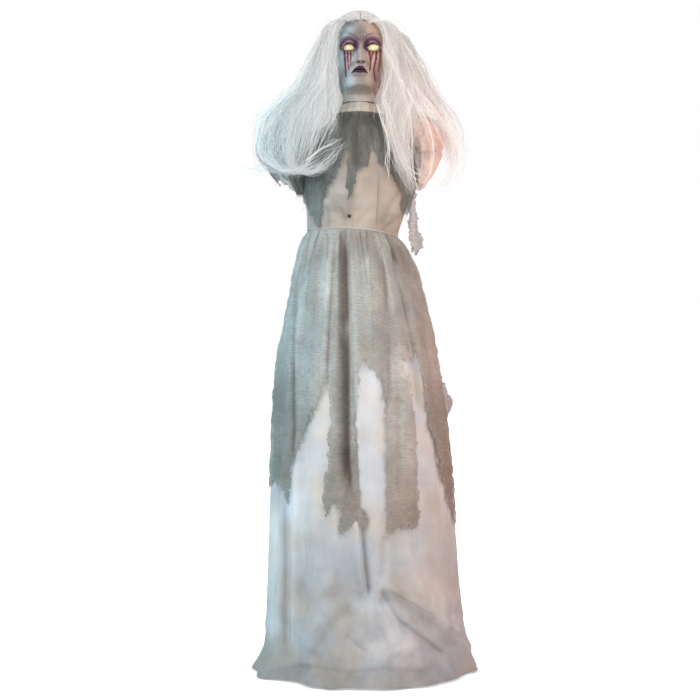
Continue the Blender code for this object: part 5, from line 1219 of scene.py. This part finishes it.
# Cells round the face, round the back of the head, and up it
HEAD_CELLS = (320, 110, 330)
front_turns = np.linspace(-math.pi, 0, HEAD_CELLS[0], endpoint=False)
back_turns = np.linspace(0, math.pi, HEAD_CELLS[1], endpoint=False)
angle, share = np.meshgrid(np.concatenate([front_turns, back_turns]), np.linspace(0, 1, HEAD_CELLS[2]))
x, y, z = head_points(angle, share)
facing = step(0.05, 0.55, -np.sin(angle))
side = np.abs(x - column(FACE_SHIFT, z) * facing)
brow_x = [row[0] for row in BROW]
brow_z = [row[1] for row in BROW]
brow_rise = z - np.interp(side, brow_x, brow_z)
lip = mouth_line(side)
upper_lip = (mouth_top(side) + lip) / 2
lower_lip = (mouth_base(side) + lip) / 2
lip_width = step(0, 0.30, 1 - side / MOUTH_HALF)
opening = eye_opening(side, z)
ring = np.hypot((side - EYE_X) / 0.0190, (z - EYE_BASE - 0.0045) / 0.0165)
nose_rise = np.clip((z - 1.5450) / 0.046, 0, 1)
nose_width = 0.0100 - 0.0040 * nose_rise
nose_size = np.interp(z, [1.5400, 1.5440, 1.5490, 1.5560, 1.5750, 1.5900, 1.6050],
                      [0.0, 0.0180, 0.0230, 0.0185, 0.0115, 0.0065, 0.0])
relief = nose_size * np.exp(-(side / nose_width) ** 2)
relief += sum(height * hill(side, z, *spot) for height, *spot in FACE_HILLS)
brow_ridge = np.exp(-((brow_rise + 0.0015) / 0.0070) ** 2)
relief += 0.0085 * brow_ridge * step(0.058, 0.040, side) * step(0.0, 0.010, side)
relief += 0.0050 * np.exp(-((opening - 0.20) / 0.20) ** 2)
relief -= 0.0026 * np.exp(-((ring - 1.12) / 0.10) ** 2) * step(-0.002, 0.006, z - EYE_BASE)
fold = (side - 0.0170 - 0.55 * (1.5440 - z)) / 0.0030
relief -= 0.0034 * np.exp(-fold ** 2) * step(1.510, 1.524, z) * step(1.552, 1.542, z)
relief += 0.0045 * np.exp(-((z - upper_lip) / 0.0036) ** 2) * lip_width
relief += 0.0055 * np.exp(-((z - lower_lip) / 0.0036) ** 2) * lip_width ** 1.5
relief -= 0.0055 * np.exp(-((z - lip) / 0.0014) ** 2) * lip_width
y = y - relief * facing
z[0] -= SEAM_LIP
skin_points = np.stack([x, y, z], axis=-1)
skin_points[..., 1] -= 0.0006 * rough(skin_points, 0.012, 151, 3) * facing

px, py = pixel_of(x, y, z)
blotch = rough(skin_points, 0.03, 161, 3)[..., None]
paint = np.array([0.630, 0.595, 0.575]) + 0.035 * blotch


def painted(paint, coats):
    """The paint under coats of a colour and an amount each, one over the other."""
    for colour, amount in coats:
        amount = np.clip(amount, 0, 1)[..., None]
        paint = paint * (1 - amount) + np.array(colour) * amount
    return paint


under_eye = np.exp(-(np.clip(opening, 0, 3) / 0.60) ** 2) * step(0.004, -0.004, z - EYE_BASE)
lid = step(1.25, 0.95, ring) * step(-0.008, 0.004, z - EYE_BASE)
arch = np.exp(-((ring - 1.12) / 0.13) ** 2) * step(-0.010, 0.006, z - EYE_BASE)
haze = np.exp(-((ring - 1.35) / 0.20) ** 2) * step(-0.002, 0.010, z - EYE_BASE)
inner_eye = hill(side, z, 0.0140, 1.5880, 0.0060, 0.0100)
brow_size = np.interp(side, [0.0050, 0.018, 0.046], [0.0030, 0.0024, 0.0012])
brow_line = np.exp(-(brow_rise / brow_size) ** 4) * step(0.040, 0.024, side) * step(0.003, 0.0065, side)
hairs = 0.80 + 0.35 * noise(np.stack([side * 3 + z, z * 0.6, side], axis=-1), 0.0016, 171)
frown = hill(side, z, 0.0055, 1.6000, 0.0014, 0.0080)
rim = np.exp(-(np.clip(opening, -0.3, 3) / 0.16) ** 2)
lips = step(LIP_EDGE, -LIP_EDGE, z - mouth_top(side)) * step(-LIP_EDGE, LIP_EDGE, z - mouth_base(side))
lips *= step(MOUTH_HALF + 0.001, MOUTH_HALF - 0.001, side)
lip_gap = np.exp(-((z - lip) / 0.0018) ** 2) * lip_width ** 0.5
paint = painted(paint, (
    # The cast of each half, and the light on the jaw and cheek
    ((0.57, 0.65, 0.69), 0.75 * step(0.004, -0.030, x)),
    ((0.72, 0.84, 0.88), 0.30 * hill(x, z, -0.028, 1.4900, 0.0160, 0.0160)),
    ((0.80, 0.92, 0.95), 0.35 * hill(x, z, -0.052, 1.5500, 0.0070, 0.0300)),
    ((0.72, 0.605, 0.535), 0.75 * step(-0.002, 0.030, x)),
    # Painted shade on the forehead's middle, in the cheek hollows, in the folds above the mouth corners and
    # under the lower lip; painted light under the chin; a darker chin and a paler band at the hairline
    ((0.36, 0.31, 0.31), 0.75 * hill(side, z, 0.0, 1.6180, 0.0170, 0.0170) * facing),
    ((0.44, 0.40, 0.40), 0.50 * hill(side, z, 0.0400, 1.5180, 0.0120, 0.0200) * facing),
    ((0.40, 0.36, 0.38), 0.50 * hill(side, z, 0.0180, 1.5380, 0.0050, 0.0090) * facing),
    ((0.38, 0.40, 0.38), 0.60 * hill(side, z, 0.0, 1.5090, 0.0160, 0.0035) * facing),
    ((0.78, 0.75, 0.73), 0.85 * step(1.484, 1.470, z) * facing),
    ((0.45, 0.42, 0.40), 0.55 * hill(x, z, 0.006, 1.4920, 0.0220, 0.0160) * facing),
    ((0.68, 0.66, 0.66), 0.60 * step(1.634, 1.654, z) * facing),
    # Eye paint and brows, and painted shade in the frown's folds
    ((0.40, 0.24, 0.32), 0.60 * under_eye * facing),
    ((0.50, 0.38, 0.47), 0.85 * lid * facing),
    ((0.33, 0.13, 0.21), 0.90 * arch * facing),
    ((0.46, 0.33, 0.45), 0.55 * haze * facing),
    ((0.22, 0.13, 0.22), 0.75 * inner_eye * facing),
    ((0.27, 0.19, 0.22), 0.85 * brow_line * hairs * facing),
    ((0.30, 0.20, 0.20), 0.70 * frown * facing),
    ((0.12, 0.05, 0.07), 0.95 * rim * facing),
    # Painted shade in the nostrils, under the nose and down the nose's -X side; lip paint, and painted shade
    # in the gap between the lips
    ((0.14, 0.08, 0.09), 0.90 * hill(side, z, 0.0058, 1.5425, 0.0030, 0.0016) * facing),
    ((0.42, 0.33, 0.33), 0.6 * hill(side, z, 0.0, 1.5395, 0.0120, 0.0020) * facing),
    ((0.42, 0.36, 0.48), 0.55 * hill(x, z, -0.0060, 1.5700, 0.0035, 0.0180) * facing),
    ((0.22, 0.09, 0.20), 0.95 * lips * facing),
    ((0.10, 0.03, 0.09), 0.90 * lip_gap * facing),
))
for strength, wide, line in STREAKS:
    signed, along = line_reach(px, py, line)
    width = wide * (1 - 0.35 * along) * (1 + 0.25 * noise(skin_points, 0.004, 181))
    streak = np.exp(-(signed / width) ** 4) * step(0, 0.05, along) * step(0, 0.06, 1.02 - along)
    paint = painted(paint, [((0.33, 0.06, 0.10), 0.92 * strength * streak * facing)])
paint = painted(paint, [((0.56, 0.45, 0.40), 0.3 * step(1.4564, 1.4554, z))])
paint_layer = to_linear(np.clip(paint, 0, 1))
paint_layer = np.concatenate([paint_layer, np.ones_like(paint_layer[..., :1])], axis=-1)
middle_opening = (opening[:-1] + opening[1:]) / 2
keep = ~((middle_opening < -0.04) & (facing[:-1] > 0.5))
head = grid_mesh("head_skin", skin_points, keep=keep, paint=paint_layer)
dress(head, "head", "pale_skin", "head", "head_shell")

# The lit eyes: low domes behind the lids
EYE_DEPTH = -0.0652
EYE_CELLS = (64, 24)
for name, way in (("eye_left", -1), ("eye_right", 1)):
    turns, falls = tube_grid(EYE_CELLS[0], np.linspace(0, 1, EYE_CELLS[1]))
    polar = falls * math.pi * 0.5
    dome = np.stack([
        way * EYE_X + 0.0042 + 0.0154 * np.sin(polar) * np.cos(turns),
        EYE_DEPTH - 0.0100 * np.cos(polar) ** 0.6,
        EYE_BASE + 0.0055 + 0.0122 * np.sin(polar) * np.sin(turns),
    ], axis=-1)
    eye = grid_mesh(name + "_dome", dome)
    dress(eye, "eye", "eye_yellow", "head", name)

# The wig's cap under the strands
CAP_CELLS = (200, 120)
CAP_LIFT = 0.0045
CAP_HAIRLINE = (
    (-1, 0.16), (-0.45, 0.22), (0.05, 0.30), (0.35, 0.60), (0.55, 0.78), (0.9, 0.868), (1, 0.886),
)
angle, share = tube_grid(CAP_CELLS[0], np.linspace(1, CAP_HAIRLINE[0][1], CAP_CELLS[1]))
x, y, z = head_points(angle, share, swell=CAP_LIFT)
grain = noise(np.stack([x, y, z * 0.2], axis=-1), 0.004, 191)
cap_points = np.stack([x, y, z], axis=-1) + 0.0010 * grain[..., None]
cap_points[0] = cap_points[0].mean(axis=0)
hairline = column(CAP_HAIRLINE, -np.sin(angle[:-1]))
keep = share[:-1] > hairline + 0.022 * rough(around(angle[:-1]), 0.10, 193, 3)
strand = np.clip(0.5 + 0.5 * grain, 0, 1)
cap = grid_mesh("wig_cap", cap_points, keep=keep, strand=strand)
dress(cap, "hair", "white_hair", "head", "wig_crown")

# The hair. Locks drawn on the photograph have rows of height, inner and outer edge in pixels, place
# in depth and half depth in metres; the others have rows of x, y, height, half width and half depth
SKULL_CENTRE = np.array([0.0, -0.003, 1.585])
SKULL_HALF = np.array([0.0860, 0.1020, 0.1060])


def drawn_lock(rows):
    lock = []
    for py, inner, outer, y, deep in rows:
        near_x, z = place_of(inner, py, y)
        far_x, z = place_of(outer, py, y)
        lock.append(((near_x + far_x) / 2, y, z, abs(far_x - near_x) / 2, deep))
    return lock


LOCKS = (
    ("hair_left", 1750, 0.46, 0.50, drawn_lock((
        (13.5, 361, 352, 0.000, 0.105), (16, 353, 340, -0.006, 0.100), (22, 344, 331, -0.014, 0.090),
        (32, 336, 324, -0.022, 0.060), (44, 333, 318, -0.030, 0.046), (58, 333, 312, -0.040, 0.040),
        (80, 333, 304, -0.055, 0.036), (95, 333, 290, -0.065, 0.032), (106, 333, 279, -0.075, 0.030),
        (125, 329, 270, -0.085, 0.028), (150, 320, 268, -0.090, 0.026), (168, 310, 272, -0.092, 0.022),
        (181, 298, 280, -0.092, 0.018),
    ))),
    ("hair_left_face", 400, 0.50, 0.50, drawn_lock((
        (12.5, 361.5, 354, -0.056, 0.050), (16, 356, 346, -0.064, 0.046), (22, 347, 339, -0.070, 0.034),
        (30, 338, 331, -0.072, 0.020), (44, 334.5, 328, -0.074, 0.018), (60, 334.5, 326, -0.072, 0.018),
        (80, 335, 324, -0.074, 0.016), (100, 338, 322, -0.088, 0.014), (118, 340, 316, -0.104, 0.012),
        (138, 336, 308, -0.114, 0.010), (158, 328, 298, -0.116, 0.010),
    ))),
    ("hair_left_curl", 240, 0.62, 0.75, drawn_lock((
        (40, 335, 320, -0.040, 0.034), (80, 326, 298, -0.070, 0.028), (110, 300, 266, -0.092, 0.026),
        (140, 290, 258, -0.098, 0.024), (163, 292, 262, -0.102, 0.022), (172, 306, 276, -0.106, 0.020),
        (172, 320, 294, -0.110, 0.016), (162, 330, 308, -0.114, 0.014), (150, 340, 324, -0.116, 0.010),
        (140, 350, 338, -0.118, 0.008),
    ))),
    ("hair_right", 1150, 0.46, 0.50, drawn_lock((
        (13.5, 360, 369, 0.000, 0.105), (16, 368, 380, -0.006, 0.100), (22, 377, 389, -0.014, 0.090),
        (32, 384, 396, -0.022, 0.060), (44, 387, 403, -0.030, 0.046), (58, 388, 408, -0.040, 0.040),
        (80, 388, 415, -0.055, 0.036), (95, 387, 419, -0.065, 0.032), (106, 386, 422, -0.075, 0.030),
        (122, 385, 416, -0.085, 0.028), (142, 387, 412, -0.092, 0.026), (165, 394, 412, -0.094, 0.022),
        (181, 401, 414, -0.094, 0.020), (196, 408, 420, -0.092, 0.018),
    ))),
    ("hair_right_veil", 230, 0.45, 0.60, drawn_lock((
        (13.5, 364, 372, 0.010, 0.060), (18, 376, 386, 0.006, 0.058), (26, 386, 395, -0.004, 0.054),
        (36, 393, 404, -0.016, 0.050), (48, 398, 412, -0.030, 0.044), (60, 403, 417, -0.040, 0.040),
        (80, 411, 428, -0.055, 0.036), (95, 418, 438, -0.065, 0.032), (106, 424, 446, -0.075, 0.030),
        (122, 431, 456, -0.085, 0.028), (142, 438, 463, -0.092, 0.026), (165, 440, 463, -0.094, 0.022),
        (181, 432, 454, -0.094, 0.020), (196, 424, 441, -0.092, 0.018),
    ))),
    ("hair_right_face", 440, 0.50, 0.50, drawn_lock((
        (12.5, 360.5, 368, -0.056, 0.050), (16, 365, 375, -0.064, 0.046), (22, 373, 382, -0.070, 0.034),
        (30, 381, 389, -0.072, 0.020), (44, 385, 392, -0.074, 0.018), (60, 386, 396, -0.072, 0.018),
        (80, 385, 399, -0.074, 0.016), (98, 383, 401, -0.088, 0.014), (118, 383, 405, -0.104, 0.012),
        (140, 387, 408, -0.114, 0.010), (160, 392, 408, -0.118, 0.010), (176, 396, 404, -0.118, 0.008),
    ))),
    ("hair_side_left", 520, 0.70, 0.50, (
        (-0.006, 0.040, 1.688, 0.006, 0.040), (-0.050, 0.040, 1.668, 0.010, 0.045),
        (-0.078, 0.036, 1.620, 0.010, 0.050), (-0.088, 0.032, 1.560, 0.012, 0.050),
        (-0.098, 0.028, 1.500, 0.020, 0.046), (-0.120, 0.030, 1.440, 0.030, 0.040),
        (-0.165, 0.040, 1.425, 0.034, 0.036), (-0.215, 0.055, 1.390, 0.026, 0.030),
        (-0.245, 0.062, 1.340, 0.016, 0.026), (-0.250, 0.062, 1.290, 0.014, 0.022),
    )),
    ("hair_side_right", 520, 0.70, 0.50, (
        (0.006, 0.040, 1.688, 0.006, 0.040), (0.050, 0.040, 1.668, 0.010, 0.045),
        (0.080, 0.036, 1.620, 0.010, 0.050), (0.090, 0.032, 1.560, 0.012, 0.050),
        (0.100, 0.028, 1.500, 0.020, 0.046), (0.122, 0.030, 1.442, 0.030, 0.040),
        (0.160, 0.042, 1.428, 0.032, 0.036), (0.205, 0.056, 1.395, 0.024, 0.030),
        (0.238, 0.062, 1.345, 0.016, 0.026), (0.244, 0.062, 1.300, 0.014, 0.022),
    )),
    ("hair_back", 1900, 0.75, 0.62, (
        (0.000, 0.010, 1.692, 0.050, 0.050), (0.000, 0.072, 1.672, 0.066, 0.020),
        (0.000, 0.098, 1.600, 0.088, 0.016), (0.000, 0.108, 1.530, 0.105, 0.020),
        (0.000, 0.116, 1.450, 0.125, 0.022), (0.000, 0.122, 1.380, 0.135, 0.020),
        (0.000, 0.124, 1.310, 0.130, 0.018), (0.000, 0.120, 1.262, 0.110, 0.014),
    )),
)
# Loose hairs: places in depth of the first, second and other points, and the line in pixels
WISPS = (
    (-0.05, -0.09, -0.10, [(330, 60), (300, 95), (262, 112), (253, 128), (262, 146), (272, 150)]),
    (-0.05, -0.09, -0.10, [(326, 70), (292, 98), (268, 104), (256, 120), (258, 140), (268, 160)]),
    (-0.05, -0.09, -0.10, [(320, 90), (285, 130), (268, 160), (255, 172), (246, 169), (241, 165)]),
    (-0.05, -0.09, -0.10, [(322, 95), (290, 140), (272, 168), (258, 173), (249, 170), (244, 164)]),
    (-0.08, -0.10, -0.11, [(380, 40), (402, 80), (411, 130), (409, 165), (420, 190), (426, 200)]),
    (-0.08, -0.10, -0.11, [(384, 50), (408, 90), (432, 130), (436, 160), (428, 185), (418, 198)]),
    (-0.07, -0.09, -0.10, [(390, 60), (425, 100), (452, 130), (462, 155), (455, 180), (438, 200)]),
    (-0.07, -0.09, -0.10, [(392, 60), (428, 100), (448, 128), (455, 150), (447, 178), (430, 192)]),
    (-0.10, -0.11, -0.12, [(376, 100), (386, 130), (390, 150), (388, 160), (392, 172), (390, 180)]),
    (-0.11, -0.12, -0.12, [(306, 162), (314, 155), (322, 149), (330, 144), (338, 140), (346, 137)]),
    (-0.10, -0.11, -0.12, [(380, 90), (396, 140), (402, 160), (412, 172), (428, 180), (440, 184)]),
)
STRAND_POINTS = 20
WISP_HAIRS = 8
HAIR_RADII = (0.00034, 0.00062)
# Strands of a clump on average, and the largest piece before it is split in two
CLUMP_STRANDS = 12
MOST_STRANDS = 1300


def smooth_path(rows, at):
    """Rows of numbers read smoothly at shares of their count."""
    rows = np.asarray(rows, float)
    taps = np.linspace(-0.5, 0.5, 7) / (len(rows) - 1)
    spots = np.linspace(0, 1, len(rows))
    read = []
    for tap in taps:
        spot = np.clip(at + tap, 0, 1)
        read.append(np.stack([np.interp(spot, spots, values) for values in rows.T], -1))
    return sum(read) / len(read)


def outside_skull(paths, room, held):
    """The strands kept off the skull, and laid on it where held is 1."""
    away = (paths - SKULL_CENTRE) / SKULL_HALF
    far = np.linalg.norm(away, axis=-1, keepdims=True)
    reach = np.where(far < room, room, far + (room - far) * held)
    return SKULL_CENTRE + away / far * reach * SKULL_HALF


def lock_paths(rows, count, shortest, wide, seed):
    """Strands that follow one lock, in clumps that draw together towards their ends."""
    random = np.random.default_rng(seed)
    clumps = max(8, count // CLUMP_STRANDS)
    spread = random.normal(0, wide, (clumps, 2)).clip(-1.0, 1.0)
    clump = random.integers(0, clumps, count)
    loose = random.normal(0, 0.20, (count, 2))
    stray = random.random(count) < 0.16
    loose[stray] *= 2.6
    ends = shortest + (1 - shortest) * random.random(count) ** 1.5
    along = np.linspace(0, 1, STRAND_POINTS)[None, :] * ends[:, None]
    lane = smooth_path(rows, along)
    tight = 1 - 0.55 * along[..., None]
    offset = spread[clump][:, None, :] + loose[:, None, :] * tight
    root = random.uniform(-1, 1, (count, 2))
    blend_in = step(0.0, 0.16, along)[..., None]
    offset = root[:, None, :] * (1 - blend_in) + offset * blend_in
    paths = lane[..., :3].copy()
    paths[..., 0] += offset[..., 0] * lane[..., 3]
    paths[..., 1] += offset[..., 1] * lane[..., 4]
    waves = np.zeros_like(paths)
    phase = random.uniform(0, 6.28, (clumps, 3))[clump]
    rate = random.uniform(6, 13, (clumps, 3))[clump]
    own = random.normal(1, 0.35, (count, 3))
    for axis, size in enumerate((0.0085, 0.0065, 0.0045)):
        swing = np.sin(along * rate[:, axis:axis + 1] + phase[:, axis:axis + 1])
        waves[..., axis] = size * swing * own[:, axis:axis + 1]
    paths += waves * step(0.12, 0.45, along)[..., None]
    tangle = paths + random.normal(0, 0.014, (count, 1, 3))
    growing = step(0.08, 0.5, along) * (0.7 + 1.1 * along)
    for axis, size in enumerate((0.0075, 0.0050, 0.0050)):
        paths[..., axis] += size * rough(tangle, 0.034, seed + 5 + axis, 2) * growing
    room = 1.0 + 0.040 * random.random((count, 1, 1))
    tone = 0.55 * random.random(clumps)[clump] + 0.45 * random.random(count)
    return outside_skull(paths, room, step(0.26, 0.08, along)[..., None]), tone


def strand_piece(name, paths, tone, seed, nodes=()):
    random = np.random.default_rng(seed)
    radius = random.uniform(*HAIR_RADII, (len(paths), 1))
    radii = radius * (1 - 0.75 * step(0.75, 1.0, np.linspace(0, 1, paths.shape[1]))[None, :])
    piece = tubes(name, paths, radii, strand=np.repeat(tone[:, None], paths.shape[1], axis=1))
    dress(piece, "hair", "white_hair", None, *nodes)
    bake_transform(piece)
    return piece


for number, (name, count, shortest, wide, rows) in enumerate(LOCKS):
    paths, tone = lock_paths(rows, count, shortest, wide, 201 + 17 * number)
    nodes = (name,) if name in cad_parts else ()
    halves = 2 if count > MOST_STRANDS else 1
    for half in range(halves):
        part = slice(half, None, halves)
        strand_piece(f"{name}_strands_{half + 1}", paths[part], tone[part], 301 + 11 * number + half, nodes)

random = np.random.default_rng(401)
wisp_paths = []
for *depths, line in WISPS:
    rows = []
    for number, (px, py) in enumerate(line):
        depth = depths[min(number, len(depths) - 1)]
        at_x, at_z = place_of(px, py, depth)
        rows.append((at_x, depth, at_z))
    for strand in range(WISP_HAIRS):
        aside = random.normal(0, 0.0045, 3) + random.normal(0, 0.0040, (len(rows), 3))
        moved = np.array(rows) + aside * np.linspace(0.5, 1.8, len(rows))[:, None]
        wisp_paths.append(smooth_path(moved, np.linspace(0, random.uniform(0.7, 1), STRAND_POINTS)))
wisp_paths = np.array(wisp_paths)
strand_piece("hair_wisps", wisp_paths, random.uniform(0.5, 1, len(wisp_paths)), 411)

# Floor, light and camera
FLOOR_COLOUR = (0.80, 0.80, 0.80, 1)
FLOOR_HALF = 12.0
WORLD_LIGHT = 0.48
floor_paint = Paint("floor")
shade = floor_paint.add("BsdfDiffuse", {"Color": FLOOR_COLOUR}).outputs[0]
seen = floor_paint.add("LightPath").outputs["Is Camera Ray"]
away = floor_paint.add("VectorMath", {0: floor_paint.position()}, operation="LENGTH").outputs["Value"]
lift = floor_paint.spread(away, 0.3, 1.6, 0.42, 1.0)
glow = floor_paint.add("Emission", {"Color": WHITE, "Strength": floor_paint.math("MULTIPLY", seen, lift)})
both = floor_paint.add("AddShader", {0: shade, 1: glow.outputs[0]})
floor_points = np.array([[-1, -1, 0], [1, -1, 0], [1, 1, 0], [-1, 1, 0]], float) * FLOOR_HALF
floor = new_mesh("floor", floor_points, np.array([[0, 1, 2, 3]]))
floor.data.materials.append(floor_paint.close(both))

studio = Paint("studio", "worlds")
path = studio.add("LightPath").outputs
seen = studio.math("MAXIMUM", path["Is Camera Ray"], path["Is Glossy Ray"])
clear = studio.math("MAXIMUM", seen, path["Is Transmission Ray"])
strength = studio.spread(clear, 0.0, 1.0, WORLD_LIGHT, 1.0)
sky = studio.add("Background", {"Color": WHITE, "Strength": strength})
studio.add("OutputWorld", {"Surface": sky.outputs[0]})
bpy.context.scene.world = studio.material

BODY_AIM = 0.95
FACE_AIM = 1.50
for name, place, size, energy, aim_height in (
    ("key", (-2.7, -1.9, 2.3), 1.5, 74.0, BODY_AIM),
    ("fill", (2.9, -1.7, 1.7), 1.7, 52.0, BODY_AIM),
    ("front", (0.2, -3.2, 2.2), 2.2, 16.0, BODY_AIM),
    ("face", (-0.1, -2.0, 1.75), 0.7, 9.0, FACE_AIM),
    ("rim", (0.4, 2.6, 2.4), 1.8, 30.0, BODY_AIM),
):
    light = bpy.data.lights.new(name, "AREA")
    light.size = size
    light.energy = energy
    lamp = bpy.data.objects.new(name, light)
    lamp.location = place
    aim = Vector((0, 0, aim_height)) - Vector(place)
    lamp.rotation_euler = aim.to_track_quat("-Z", "Y").to_euler()
    bpy.context.scene.collection.objects.link(lamp)

SENSOR_MM = 36.0
view = bpy.data.cameras.new("photo_view")
view.sensor_width = SENSOR_MM
view.lens = FOCAL_PX / IMAGE_PX * view.sensor_width
camera = bpy.data.objects.new("photo_view", view)
camera.location = (CAMERA_X, -CAMERA_DISTANCE, CAMERA_HEIGHT)
camera.rotation_euler = (math.pi / 2, 0, 0)
bpy.context.scene.collection.objects.link(camera)
bpy.context.scene.camera = camera
bpy.context.scene.view_settings.view_transform = "Standard"
